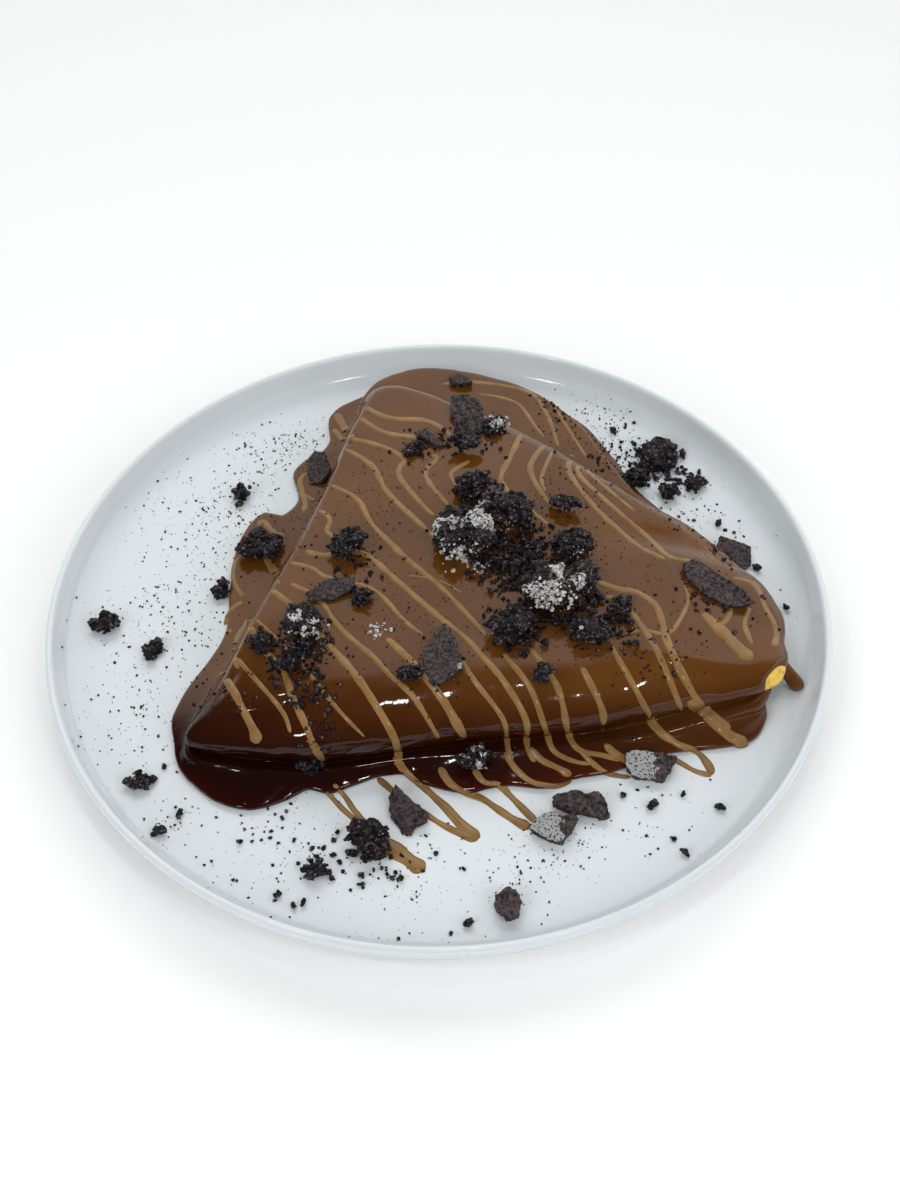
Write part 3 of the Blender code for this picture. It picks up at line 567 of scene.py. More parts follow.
CREPE_THREADS = [
    # width, width at its end, places that it runs through
    (2.6, 4.4, [(-70, -42), (-65, -50), (-61, -58), (-57, -66), (-56, -70)]),
    (1.7, 1.2, [(-66, -36), (-58, -46), (-49, -58), (-46, -66)]),
    (2.3, 2.6, [(-63, -22), (-57, -33), (-50, -42), (-46, -53), (-42, -62), (-38, -72),
                (-35, -77)]),
    (1.5, 1.0, [(-61, -20), (-52, -30), (-43, -41), (-32, -57), (-23, -68)]),
    (2.7, 2.6, [(-57, -7), (-46, -18), (-37, -30), (-28, -42), (-22, -52), (-14, -68), (-12, -77),
                (-11, -81)]),
    (2.1, 1.6, [(-50, -5), (-40, -12), (-33, -24), (-21, -37), (-15, -45), (-8, -53), (0, -69)]),
    (1.8, 1.5, [(-52, 5), (-43, 2), (-38, -2), (-22, -8), (-11, -22), (-5, -28)]),
    (2.8, 3.2, [(-17, -29), (-7, -41), (0, -52), (4, -60), (8, -69)]),
    (2.4, 2.0, [(-46, 10), (-40, 8), (-33, 9), (-25, 8), (-15, -3), (0, -20), (10, -31), (20, -46),
                (27, -62), (27, -72), (29, -78)]),
    (2.2, 1.8, [(-22, 20), (-12, 7), (0, -6), (10, -20), (16, -29)]),
    (0.8, 0.6, [(-10, -2), (0, -4), (8, -10)]),
    (1.9, 1.6, [(7, -38), (12, -48), (20, -62), (21, -72), (22, -79)]),
    (2.1, 1.6, [(21, -36), (29, -50), (33, -66), (35, -74), (41, -78), (46, -79)]),
    (2.2, 1.8, [(30, -34), (37, -48), (39, -57), (40, -68), (43, -74), (50, -76), (55, -78)]),
    (2.3, 2.0, [(46, -42), (51, -58), (51, -65)]),
    (2.1, 2.2, [(56, -33), (62, -50), (66, -62), (70, -69), (76, -75)]),
    (2.4, 1.8, [(52, -14), (58, -13), (63, -18), (68, -28), (72, -40), (76, -60)]),
    (2.7, 3.4, [(54, -6), (60, -9), (67, -11), (73, -18), (75, -34), (81, -55), (86, -62),
                (90, -67)]),
    (1.5, 1.0, [(62, -29), (67, -27), (75, -29), (80, -23), (84, -14), (83, -8)]),
    (1.8, 2.2, [(98, -18), (95, -24), (91, -26)]),
    (4.4, 5.6, [(88, -20), (91, -25), (95, -31), (98, -36), (101, -40)]),
    (1.8, 1.6, [(104, -18), (101, -25), (102, -34)]),
    (1.8, 2.4, [(100, -5), (107, -8), (109, -18), (111, -28), (109, -35)]),
    (2.6, 1.6, [(-30, 86), (-18, 78), (-4, 76), (5, 68), (8, 62)]),
    (2.4, 1.6, [(-31, 80), (-20, 70), (-5, 67)]),
    (2.4, 1.8, [(-33, 67), (-20, 62), (-12, 55), (-14, 51), (-13, 44), (-5, 31), (-1, 26)]),
    (2.4, 1.8, [(-34, 61), (-24, 52), (-18, 38), (-6, 22), (0, 14)]),
    (2.1, 1.6, [(-40, 43), (-29, 35), (-23, 22), (-12, 8)]),
    (2.0, 1.8, [(-44, 30), (-40, 28), (-38, 24), (-39, 19), (-35, 16)]),
    (2.2, 1.6, [(-2, 58), (0, 55), (-4, 50), (-3, 43), (4, 31)]),
    (2.1, 1.6, [(12, 54), (6, 49), (5, 46), (9, 38)]),
    (2.3, 1.6, [(32, 69), (27, 56), (23, 43), (30, 32), (39, 21)]),
    (2.3, 1.6, [(40, 62), (34, 50), (38, 35), (42, 29)]),
    (1.5, 1.2, [(43, 59), (38, 45), (39, 37)]),
    (2.2, 1.8, [(50, 55), (48, 48), (54, 33), (62, 20), (70, 10), (78, 4)]),
    (2.0, 1.8, [(52, 52), (52, 45), (62, 30), (75, 12), (80, 5), (90, 2)]),
    (1.5, 1.4, [(54, 50), (58, 43), (70, 27)]),
    (1.9, 1.4, [(2, 97), (15, 98), (35, 92), (42, 78), (45, 60)]),
    (1.7, 1.4, [(16, 91), (30, 86), (37, 72), (40, 66)]),
    (1.5, 1.2, [(45, 83), (52, 63), (55, 55)]),
]
PLATE_THREADS = [
    (1.9, 2.0, [(-34, -71), (-30, -76), (-27, -81), (-22, -87)]),
    (1.9, 2.0, [(-36, -74), (-31, -80), (-27, -84), (-22, -89)]),
    (5.2, 6.4, [(-20, -90), (-13, -96), (-8, -100), (-5, -102.5)]),
    (2.3, 3.6, [(-20, -69), (-16, -73), (-11, -78), (-4, -83), (0, -86), (5, -89), (11.5, -92)]),
    (2.6, 4.2, [(-15, -61), (-10, -68), (-5, -73), (0, -78), (4, -82.5), (8, -87.5), (12, -91.5)]),
    (1.4, 1.8, [(-6, -72), (-2, -77), (2, -82), (7, -89)]),
    (2.7, 4.0, [(0, -65), (3, -71), (8, -75), (13, -77), (18, -81), (23, -85), (28, -88)]),
    (2.5, 3.6, [(11, -66), (14, -71), (18.5, -72), (22, -76), (26, -81), (30, -86)]),
    (2.2, 1.8, [(21, -60), (25, -67), (30, -71.5), (37, -73), (42, -71)]),
    (2.6, 4.0, [(29, -58), (33, -63), (38, -66), (42, -69)]),
    (2.0, 2.0, [(45, -58), (49, -64), (54, -68.5), (61, -70)]),
    (3.2, 3.0, [(54, -57), (57, -61), (62, -64.5)]),
    (2.4, 3.2, [(69, -48), (73, -54), (78, -57.5), (82, -59.5), (85, -62.5), (87, -67),
                (87, -69.5)]),
    (2.2, 2.4, [(74, -62), (78, -65), (82, -68), (87, -69.8)]),
    (6.0, 6.6, [(83, -41), (86, -42.5), (90, -46)]),
    (4.6, 6.0, [(88, -45), (93, -52), (97, -56), (100.5, -58.5)]),
    (2.2, 2.6, [(-73, -9), (-75, -4), (-74, 2), (-70, 6)]),
    (2.0, 2.2, [(-70, 8), (-73, 13), (-75, 19), (-74, 26), (-68, 30)]),
    (2.8, 3.0, [(-68, 43.5), (-66, 46.2), (-64, 42.5), (-61.5, 39.5), (-57, 37)]),
    (2.4, 2.8, [(-50.5, 71.5), (-53.4, 68), (-52.4, 61), (-50.6, 55), (-51, 50)]),
    (2.0, 2.0, [(-52, 60), (-48.5, 57), (-44, 55)]),
    (3.6, 3.8, [(-41, 106), (-38.5, 99), (-34, 90)]),
    (2.8, 2.8, [(-42, 96.5), (-39, 91.5), (-35.5, 86)]),
    (3.0, 2.4, [(-58, 36), (-62, 33), (-63, 27), (-60, 20), (-58, 14)]),
    (2.4, 2.0, [(-66, -2), (-70, -9), (-71, -16), (-69, -24)]),
]
LANES = (-1.0, -0.86, -0.5, 0.0, 0.5, 0.86, 1.0)  # places across a strand
ROW_STEP = 0.75  # from one row across a strand to the next
DROP = 2.4  # a longer step than this is a drop off a fold
chance = random.Random(11)
strand_points, strand_faces = [], []


def lay_strand(rows, normals, prouds):
    """One closed flat strand through rows of points across it."""
    start, ring = len(strand_points), len(LANES) + 2
    for row, normal, proud in zip(rows, normals, prouds):
        for spot, lane in zip(row, LANES):
            crown = proud * math.sqrt(max(0.0, 1 - lane * lane))
            strand_points.append(spot + normal * (crown - 0.08))
        for k in (-2, 1):
            strand_points.append(row[k] - normal * 0.35)
    for i in range(len(rows) - 1):
        for k in range(ring):
            a, b = start + i * ring + k, start + i * ring + (k + 1) % ring
            strand_faces.append((a, b, b + ring, a + ring))
    strand_faces.append(tuple(range(start + ring - 1, start - 1, -1)))
    strand_faces.append(tuple(range(start + (len(rows) - 1) * ring, start + len(rows) * ring)))


for level, group in ((CREPE_LEVEL, CREPE_THREADS), (PLATE_LEVEL, PLATE_THREADS)):
    for wide, wide_end, way in group:
        line = through(way, 8, closed=False)
        span = float(np.linalg.norm(np.diff(line, axis=0), axis=1).sum())
        count = max(8, int(span / ROW_STEP))
        line = evenly(line, count, closed=False)
        step = span / (count - 1)
        along = np.gradient(line, axis=0)
        along /= np.linalg.norm(along, axis=1)[:, None]
        phase = chance.uniform(0, 100)
        stretches, rows, normals, prouds = [], [], [], []
        for i, (x, y) in enumerate(line):
            share = i / (count - 1)
            width = wide + (wide_end - wide) * float(smooth_step(0.75, 1.0, share))
            width *= 1.02 + 0.30 * noise.noise(Vector((phase, i * 0.14, 0)))
            to_end = min(i, count - 1 - i) * step + 0.1
            end = min(1.0, to_end / (0.5 * width))
            shrink = math.sqrt(max(0.02, 1 - (1 - end) ** 2))
            half = 0.5 * width * shrink
            proud = (0.14 + 0.10 * width) * shrink
            heart, normal = under_sight(x, y, level)
            if heart is None:
                continue
            side = Vector((-along[i][1], along[i][0], 0))
            flat_side = (side - normal * side.dot(normal)).normalized()
            row = []
            for lane in LANES:
                spot, _ = under_sight(x + side.x * half * lane, y + side.y * half * lane, level)
                if spot is None or (spot - heart).length > 1.7 * half + 0.4:
                    spot = heart + flat_side * (half * lane)
                row.append(spot)
            if rows and (heart - rows[-1][3]).length > DROP:
                # the strand drops off a fold here: tuck both ends under it
                falls = rows[-1][3].z > heart.z
                tuck = Vector((0, 0.7, -1.6) if falls else (0, 2.0, 0))
                rows.append([spot + tuck for spot in rows[-1]])
                normals.append(normals[-1])
                prouds.append(prouds[-1])
                stretches.append((rows, normals, prouds))
                tuck = Vector((0, 2.2, 0) if falls else (0, 0.7, -1.6))
                rows = [[spot + tuck for spot in row]]
                normals, prouds = [normal], [proud]
            rows.append(row)
            normals.append(normal)
            prouds.append(proud)
        stretches.append((rows, normals, prouds))
        for rows, normals, prouds in stretches:
            if len(rows) < 3:
                continue
            for _ in range(2):
                rows = [rows[0]] + [
                    [0.25 * a + 0.5 * b + 0.25 * c for a, b, c in zip(*near)]
                    for near in zip(rows, rows[1:], rows[2:])
                ] + [rows[-1]]
                normals = [normals[0]] + [
                    (a + b + c).normalized() for a, b, c in zip(normals, normals[1:], normals[2:])
                ] + [normals[-1]]
            lay_strand(rows, normals, prouds)
drizzle_mesh = bpy.data.meshes.new("caramel_drizzle")
drizzle_mesh.from_pydata([spot * MM for spot in strand_points], [], strand_faces)
drizzle = placed("caramel_drizzle", drizzle_mesh)


def pick_out(thing):
    """Nothing is selected but this object, and it is the active one."""
    bpy.ops.object.select_all(action="DESELECT")
    bpy.context.view_layer.objects.active = thing
    thing.select_set(True)


pick_out(drizzle)
bpy.ops.object.mode_set(mode="EDIT")
bpy.ops.mesh.select_all(action="SELECT")
bpy.ops.mesh.normals_make_consistent(inside=False)
bpy.ops.object.mode_set(mode="OBJECT")
bpy.ops.object.shade_smooth()

caramel, tree = new_paint("caramel_brown_sauce")
dress(tree, {
    "Base Color": shades(tree, cloudy(tree, 160, 4), [
        (0.35, (0.185, 0.098, 0.029)), (0.65, (0.245, 0.138, 0.047))]),
    "Roughness": 0.20,
})
drizzle.data.materials.append(caramel)
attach(drizzle, "root")

# ---------------------------------------------------------------- finger of sauce at the tip
# A thick drop of the same chocolate sauce. It hangs from the crepe's right tip down to the
# plate, thin at its neck and round at its end.
finger_curve = bpy.data.curves.new("sauce_finger", "CURVE")
finger_curve.dimensions = "3D"
finger_curve.bevel_depth = MM
finger_curve.bevel_resolution = 6
finger_curve.use_fill_caps = True
run = finger_curve.splines.new("POLY")
FINGER = [
    # x and y where the eye sees it on the plate, height, radius
    (108, -17, 23.5, 1.6), (111, -18.5, 22.5, 2.6), (113.4, -20.5, 20.5, 2.9),
    (115.6, -23.5, 17.5, 2.7), (117.6, -27, 14.6, 2.4), (119.3, -30.5, 12.2, 2.4),
    (120.6, -33.6, 11.0, 2.6), (121.3, -35.2, 10.6, 2.2), (121.7, -36.2, 10.4, 1.3),
]
fine = through(FINGER, 5, closed=False)
run.points.add(len(fine) - 1)
for point, (x, y, z, radius) in zip(run.points, fine):
    way = (Vector((x, y, PLATE_LEVEL)) - seat).normalized()
    point.co = (*((seat + way * ((z - seat.z) / way.z)) * MM), 1)
    point.radius = radius
pick_out(placed("sauce_finger", finger_curve))
bpy.ops.object.convert(target="MESH")
finger = bpy.context.active_object
bpy.ops.object.shade_smooth()
finger.data.materials.append(ganache)
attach(finger, "root")

# ---------------------------------------------------------------- chocolate biscuit pieces
# Broken chocolate sandwich biscuits: crumbly lumps, and flat shards that keep a pressed face.
# Some still carry crushed white cream. They were dropped on the wet sauce and the plate.
biscuit, tree = new_paint("chocolate_biscuit")
grain = cloudy(tree, 620, 6, 0.75)
chips = node(tree, "TexVoronoi", {"Vector": node(tree, "TexCoord").outputs["Object"],
                                  "Scale": 1350})
chip = node(tree, "SeparateColor", {0: chips.outputs["Color"]}).outputs
baked = shades(tree, worked_out(tree, "MULTIPLY", grain, chip["Red"]), [
    (0.18, (0.0030, 0.0021, 0.0028)), (0.40, (0.019, 0.0125, 0.0155)),
    (0.58, (0.190, 0.145, 0.165)),
])
creamy = node(tree, "Attribute", attribute_name="cream").outputs["Fac"]
clots = share_of(tree, cloudy(tree, 420, 3), 0.36, 0.60, 0.30, 0.95)
is_cream = worked_out(
    tree, "GREATER_THAN", worked_out(tree, "MULTIPLY", creamy, clots), chip["Green"])
white = shades(tree, chip["Blue"], [(0.1, (0.20, 0.19, 0.18)), (0.7, (0.60, 0.60, 0.58))])
dress(tree, {
    "Base Color": mixed(tree, is_cream, baked, white),
    "Roughness": share_of(tree, chip["Blue"], 0, 1, 0.80, 0.18),
    "Specular IOR Level": 0.45,
    "Normal": dents(tree, chip["Red"], 0.8, 0.0004, over=dents(tree, grain, 0.9, 0.0005)),
})


def broken_grains(kinds, cuts, offset, uniform, along_normal, seed):
    """Knobbly grains one millimetre across, each as its points and faces."""
    grains = []
    for variant in range(kinds):
        bpy.ops.mesh.primitive_ico_sphere_add(subdivisions=cuts, radius=0.5 * MM)
        grain_shape = bpy.context.active_object
        bpy.ops.object.mode_set(mode="EDIT")
        bpy.ops.mesh.select_all(action="SELECT")
        bpy.ops.transform.vertex_random(
            offset=offset * MM, uniform=uniform, normal=along_normal, seed=seed + variant
        )
        bpy.ops.object.mode_set(mode="OBJECT")
        shape = grain_shape.data
        grains.append((
            np.array([vertex.co for vertex in shape.vertices]) / MM,
            [list(side.vertices) for side in shape.polygons],
        ))
        bpy.data.objects.remove(grain_shape)
    return grains


def one_skin(piece, voxel):
    """All that the piece is made of, grown together into one closed skin."""
    step = piece.modifiers.new("one_skin", "REMESH")
    step.mode = "VOXEL"
    step.voxel_size = voxel
    bpy.ops.object.modifier_apply(modifier="one_skin")


def crumbled(spot, cell, fine_cell):
    """How far the skin stands out as a whole chip, at a chip's heart, and as fine grit."""
    gaps_here, chips_here = noise.voronoi(spot / cell)
    step = noise.noise(chips_here[0] * 11.3) * min(1.0, 4 * (gaps_here[1] - gaps_here[0]))
    return step, 0.5 - gaps_here[0], 0.5 - noise.voronoi(spot / fine_cell)[0][0]


GRAINS = broken_grains(10, 2, 0.17, 0.4, 0.3, 0)
BITS = []
for variant in range(9):
    chance = random.Random(50 + variant)
    points, sides = [], []
    for k in range(11):
        base, base_sides = chance.choice(GRAINS)
        rock = 0.62 if k == 0 else chance.uniform(0.22, 0.5)
        away = 0.0 if k == 0 else chance.uniform(0.16, 0.36)
        turn = chance.uniform(0, 6.28)
        spot = np.array([math.cos(turn) * away, math.sin(turn) * away, chance.uniform(-0.2, 0.22)])
        sides += [[j + sum(map(len, points)) for j in side] for side in base_sides]
        stretch = np.array([chance.uniform(0.7, 1.2), 1, chance.uniform(0.6, 1)])
        points.append(base * rock * stretch + spot)
    mesh = bpy.data.meshes.new("bit")
    mesh.from_pydata(np.vstack(points).tolist(), [], sides)
    bit = placed("bit", mesh)
    pick_out(bit)
    one_skin(bit, 0.102)
    for vertex in bit.data.vertices:
        step, heart, grit = crumbled(vertex.co * 5 + Vector((variant * 9.0, 0, 0)), 1.2, 0.5)
        vertex.co += vertex.normal * (0.17 * step + 0.06 * heart + 0.08 * grit)
    BITS.append((
        np.array([vertex.co for vertex in bit.data.vertices]),
        [list(side.vertices) for side in bit.data.polygons],
    ))
    bpy.data.objects.remove(bit)
SMALL_GRAINS = broken_grains(8, 1, 0.2, 0.6, 0.0, 40)

SHARDS = {
    # number: plane of its outline, thickness, which way its face leans, where cream lies, outline
    9: (30.0, 3.0, (0.10, -0.16), None, [
        (84.1, 2.5), (87.5, 3.6), (90.4, 2.8), (96.3, -3.7), (103.4, -10.5), (105.2, -16.3),
        (100.7, -17.5), (96.7, -17.0), (89.4, -11.6), (84.6, -4.4)]),
    10: (30.0, 3.0, (-0.10, -0.22), None, [
        (5.5, 90.7), (11.3, 91.1), (16.6, 87.5), (17.6, 79.5), (19.0, 72.1), (14.6, 67.8),
        (8.5, 64.1), (6.7, 68.0), (6.4, 76.3), (5.0, 80.9)]),
    14: (30.0, 2.4, (0.0, -0.25), None, [
        (-7.6, 71.0), (-4.6, 72.6), (-0.4, 67.5), (3.3, 62.6), (1.1, 61.5), (-3.4, 64.9),
        (-6.4, 67.7)]),
    16: (30.0, 2.6, (0.05, -0.30), None, [
        (-44.9, -9.2), (-40.7, -5.7), (-37.1, -2.6), (-28.3, -2.3), (-28.8, -7.3), (-34.6, -12.0),
        (-43.3, -12.8)]),
    21: (30.0, 2.6, (-0.18, -0.20), (0.75, -0.66, 7.0), [
        (-0.1, -24.3), (2.6, -22.7), (5.5, -30.3), (7.3, -36.6), (7.6, -41.5), (3.0, -45.8),
        (-1.8, -49.7), (-4.7, -43.3), (-5.6, -35.1), (-2.1, -30.2)]),
    25: (22.0, 3.2, (0.12, -0.28), (-0.6, -0.8, 4.5), [
        (100.9, 22.3), (105.9, 19.8), (111.4, 16.8), (110.2, 9.2), (105.8, 3.2), (99.2, 5.6),
        (97.2, 11.8)]),
    26: (20.0, 3.0, (0.0, -0.20), None, [
        (4.8, 113.8), (7.7, 115.6), (11.7, 113.7), (14.4, 110.5), (10.4, 108.8), (6.0, 109.5)]),
    27: (16.0, 3.0, (-0.30, -0.25), None, [
        (-50.6, 69.1), (-47.9, 75.8), (-44.0, 74.6), (-41.1, 64.5), (-43.9, 58.1), (-48.3, 57.1)]),
    31: (11.0, 5.0, (-0.05, -0.30), (-0.95, 0.1, -2.6), [
        (59.5, -67.0), (60, -62.5), (64, -61.5), (69, -62.4), (73, -63.0), (76.4, -64.6),
        (74, -69), (71, -73.6), (68, -72.6), (64, -72.4), (61, -71)]),
    32: (11.0, 4.2, (0.05, -0.20), None, [
        (36, -78), (40, -76.8), (43, -76), (46, -77.4), (50, -76.6), (52, -80.6), (53, -86.4),
        (50, -87), (46, -84.6), (40, -83.6), (35.5, -80.6)]),
    33: (12.0, 5.0, (-0.12, -0.22), (-0.9, -0.1, -2.0), [
        (29, -87.4), (32, -85.4), (35, -84.4), (38, -86.2), (42, -84.6), (42.5, -87.6),
        (40, -91.4), (37, -95.6), (33, -94.4), (30, -92.4), (27.5, -90.4)]),
    34: (12.0, 2.6, (-0.30, -0.34), None, [
        (-14, -73.6), (-12, -76.6), (-8, -80.6), (-4, -84.1), (-4.5, -87.6), (-8, -90.1),
        (-9, -92.6), (-12, -91.6), (-14, -87.6), (-16, -83.6), (-16.2, -78.6)]),
    46: (11.0, 5.0, (0.0, -0.30), None, [
        (16.6, -112), (19.5, -109.5), (22.8, -110.5), (24.2, -115), (22.6, -119.5), (19.5, -120.6),
        (17.2, -118), (15.8, -115)]),
}
CREAM = {1: 0.24, 2: 0.25, 11: 0.15, 18: 0.14, 30: 0.24, 3: 0.05}  # share of a lump's grains
TOOTHED = 9  # the shard with a toothed rim on its face
LINED = {10: 0.35, 32: 2.75}  # shards with plain crossing lines, and how far these are turned

pressed_face, tree = new_paint("pressed_biscuit_face")
grain = cloudy(tree, 850, 6, 0.7)
creamy = node(tree, "Attribute", attribute_name="cream").outputs["Fac"]
grit = share_of(tree, cloudy(tree, 1500), 0.34, 0.52)
is_cream = share_of(tree, worked_out(tree, "MULTIPLY", creamy, grit), 0.42, 0.58)
baked = shades(tree, grain, [(0.40, (0.0045, 0.0032, 0.0038)), (0.62, (0.088, 0.062, 0.062))])
dress(tree, {
    "Base Color": mixed(tree, is_cream, baked, (0.31, 0.32, 0.32, 1)),
    "Roughness": 0.55, "Specular IOR Level": 0.4,
    "Normal": dents(tree, grain, 0.9, 0.0005),
})


def take_mesh(piece, points, sides):
    """The piece gets a new mesh in place of the plain one that it started from."""
    old = piece.data
    mesh = bpy.data.meshes.new(piece.name)
    mesh.from_pydata(points, [], sides)
    piece.data = mesh
    bpy.data.meshes.remove(old)


def flat_shard(number, piece):
    """A piece with a pressed face: an extruded outline with rough broken sides."""
    plane, thick_mm, lean, cream_at, outline = SHARDS[number]
    up_way = Vector((lean[0], lean[1], 1)).normalized()
    middle = sum((Vector((x, y, plane)) for x, y in outline), Vector()) / len(outline)
    rest, _ = under_sight(*middle)
    sight = (middle - seat).normalized()
    top_spot = rest - sight * ((thick_mm + 0.4) / abs(sight.dot(up_way)))
    crown = []
    for x, y in outline:
        way = (Vector((x, y, plane)) - seat).normalized()
        crown.append(seat + way * ((top_spot - seat).dot(up_way) / way.dot(up_way)))
    count = len(crown)
    base = [spot - up_way * thick_mm + (top_spot - spot) * 0.06 for spot in crown]
    take_mesh(piece, [spot * MM for spot in crown + base], (
        [list(range(count)), list(range(2 * count - 1, count - 1, -1))]
        + [[i, count + i, count + (i + 1) % count, (i + 1) % count] for i in range(count)]
    ))
    bpy.ops.object.mode_set(mode="EDIT")
    bpy.ops.mesh.select_all(action="SELECT")
    bpy.ops.mesh.normals_make_consistent(inside=False)
    bpy.ops.object.mode_set(mode="OBJECT")
    one_skin(piece, 0.27 * MM)
    mesh = piece.data
    cream = mesh.attributes.new("cream", "FLOAT", "POINT")
    normals = [vertex.normal.copy() for vertex in mesh.vertices]
    for vertex, normal in zip(mesh.vertices, normals):
        spot = vertex.co / MM
        own = spot - top_spot
        shift = spot + Vector((number * 7.3, number * 3.1, 0))
        flatness = max(0.0, normal.dot(up_way))
        side = 1 - abs(normal.dot(up_way))
        coarse = 0.5 - noise.voronoi(shift / 2.2)[0][0]
        fine = 0.5 - noise.voronoi(shift / 0.9)[0][0]
        push = (0.10 + 1.1 * side) * coarse + (0.14 + 0.45 * side) * fine
        push += 0.3 * noise.noise(shift / 4)
        if number == TOOTHED and flatness > 0.6:
            rim = own.x * 0.72 + own.y * 0.69
            teeth = math.sin((own.x * 0.69 - own.y * 0.72) * 3.6)
            push += (0.35 * teeth * float(smooth_step(2.0, 3.4, rim))
                     + 0.25 * float(bump(rim - 1.6, 0.5)))
        if number in LINED and flatness > 0.6:
            turn = LINED[number]
            along = own.x * math.cos(turn) + own.y * math.sin(turn)
            cross = -own.x * math.sin(turn) + own.y * math.cos(turn)
            push -= 0.45 * float(bump((along + 20) % 3.4 - 1.7, 0.40))
            push -= 0.40 * float(bump((cross + 20) % 5.2 - 2.6, 0.42))
        vertex.co += normal * (push * MM)
        lies = 0.0
        if cream_at:
            inside = (own.x * cream_at[0] + own.y * cream_at[1] - cream_at[2]
                      + 2.4 * noise.noise(shift / 2.6))
            lies = float(smooth_step(-0.8, 1.4, inside)) * (0.35 + 0.65 * flatness)
        cream.data[vertex.index].value = lies


def crumbly_lump(number, piece, centre, size):
    """A clump of grains pressed together: rocks set round a core and grown into one skin."""
    chance = random.Random(100 + number)
    core = piece.data
    points = [np.array([vertex.co / MM for vertex in core.vertices])]
    middle = np.array(centre)
    points[0] = middle + (points[0] - middle) * 0.72
    sides = [list(side.vertices) for side in core.polygons]
    start = len(points[0])
    skin = [side.center / MM for side in core.polygons]
    biggest = max(size)
    amount = CREAM.get(number, 0.0)
    rocks = []
    for _ in range(int(12 + 2.2 * biggest)):
        spot = np.array(chance.choice(skin))
        rock = biggest * chance.uniform(0.11, 0.36)
        astray = np.array(
            [chance.uniform(-0.8, 0.8), chance.uniform(-0.8, 0.8), chance.uniform(-0.2, 0.9)])
        spot = middle + (spot - middle) * (1.04 - 0.50 * rock / biggest) + astray
        base, base_sides = chance.choice(GRAINS)
        turn = np.array(Matrix.Rotation(chance.uniform(0, 6.28), 3, "Z"))
        shape = (base * rock * np.array([1.15, chance.uniform(0.6, 1), chance.uniform(0.6, 1)]))
        points.append(shape @ turn.T + spot)
        sides += [[k + start for k in side] for side in base_sides]
        start += len(base)
        above = (spot[2] - middle[2]) / (0.5 * size[2])
        white = chance.random() < amount * (0.75 + 0.6 * above) * 1.5
        rocks.append((spot, rock, 1.0 if white else 0.0))
    take_mesh(piece, (np.vstack(points) * MM).tolist(), sides)
    one_skin(piece, max(0.25, min(0.38, biggest / 44)) * MM)
    mesh = piece.data
    cream = mesh.attributes.new("cream", "FLOAT", "POINT")
    where = np.array([vertex.co / MM for vertex in mesh.vertices])
    gaps = np.stack([
        np.linalg.norm(where - spot, axis=1) / (rock + 0.6) for spot, rock, _ in rocks])
    flags = np.array([white for _, _, white in rocks])[gaps.argmin(0)]
    normals = [vertex.normal.copy() for vertex in mesh.vertices]
    ceiling, tallest = middle[2] + 0.5 * size[2] + 0.7, where[:, 2].max() + 0.8
    foot = middle[2] - 0.5 * size[2]
    squeeze = min(1.0, (ceiling - foot) / (tallest - foot))
    for vertex, normal, flag in zip(mesh.vertices, normals, flags):
        spot = vertex.co / MM + Vector((number * 7.3, number * 3.1, 0))
        step, heart, grit = crumbled(spot, 1.5, 0.7)
        vertex.co += normal * ((0.95 * step + 0.45 * heart + 0.50 * grit) * MM)
        vertex.co.z = (foot + (vertex.co.z / MM - foot) * squeeze) * MM
        cream.data[vertex.index].value = float(flag)


for number in range(1, 47):
    solid = f"cookie_{number:02d}"
    low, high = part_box(solid)
    piece = placed(f"biscuit_{number:02d}", frame["nodes"][solid].data.copy())
    pick_out(piece)
    piece.data.materials.clear()
    if number in SHARDS:
        flat_shard(number, piece)
        piece.data.materials.append(pressed_face)
    else:
        crumbly_lump(number, piece, (low + high) / 2 / MM, (high - low) / MM)
        piece.data.materials.append(biscuit)
    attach(piece, "root")
    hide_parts(solid)

# ---------------------------------------------------------------- crumbs
# What fell off the biscuits: grains from a few tenths of a millimetre to four millimetres,
# thick around the piles on the crepe and thinner over the plate, and grains of dry cream.
BIT_FROM = 2.2  # grains larger than this are whole bits


def scattered(name, falls, seed, paint):
    """One mesh of grains: each fall is a spot on the surface, its normal and a size."""
    chance = random.Random(seed)
    points, sides, start = [], [], 0
    for spot, normal, size in falls:
        kinds = BITS if size > BIT_FROM else GRAINS if size > 1.1 else SMALL_GRAINS
        base, base_sides = chance.choice(kinds)
        turn = Matrix.Rotation(chance.uniform(0, 6.28), 3, "Z") @ Matrix.Rotation(
            chance.uniform(0, 3.14), 3, "X"
        )
        stretch = np.array([chance.uniform(0.75, 1.3), chance.uniform(0.6, 1.0),
                            chance.uniform(0.6, 1.0)]) * size
        body = (base * stretch) @ np.array(turn).T
        sunk = np.array(spot) + np.array(normal) * (0.22 * size)
        points.append(body + sunk)
        sides += [[k + start for k in side] for side in base_sides]
        start += len(base)
    mesh = bpy.data.meshes.new(name)
    mesh.from_pydata((np.vstack(points) * MM).tolist(), [], sides)
    mesh.materials.append(paint)
    piece = placed(name, mesh)
    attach(piece, "root")


def small_size(chance, low, high, power):
    """A size between low and high; the higher the power, the rarer the large ones."""
    return low + (high - low) * chance.random() ** power


def dropped(x, y, spread, height):
    """Where a crumb that strays from the middle of its heap comes to lie, and the slope there."""
    return under_sight(chance.gauss(x, spread), chance.gauss(y, spread), height)


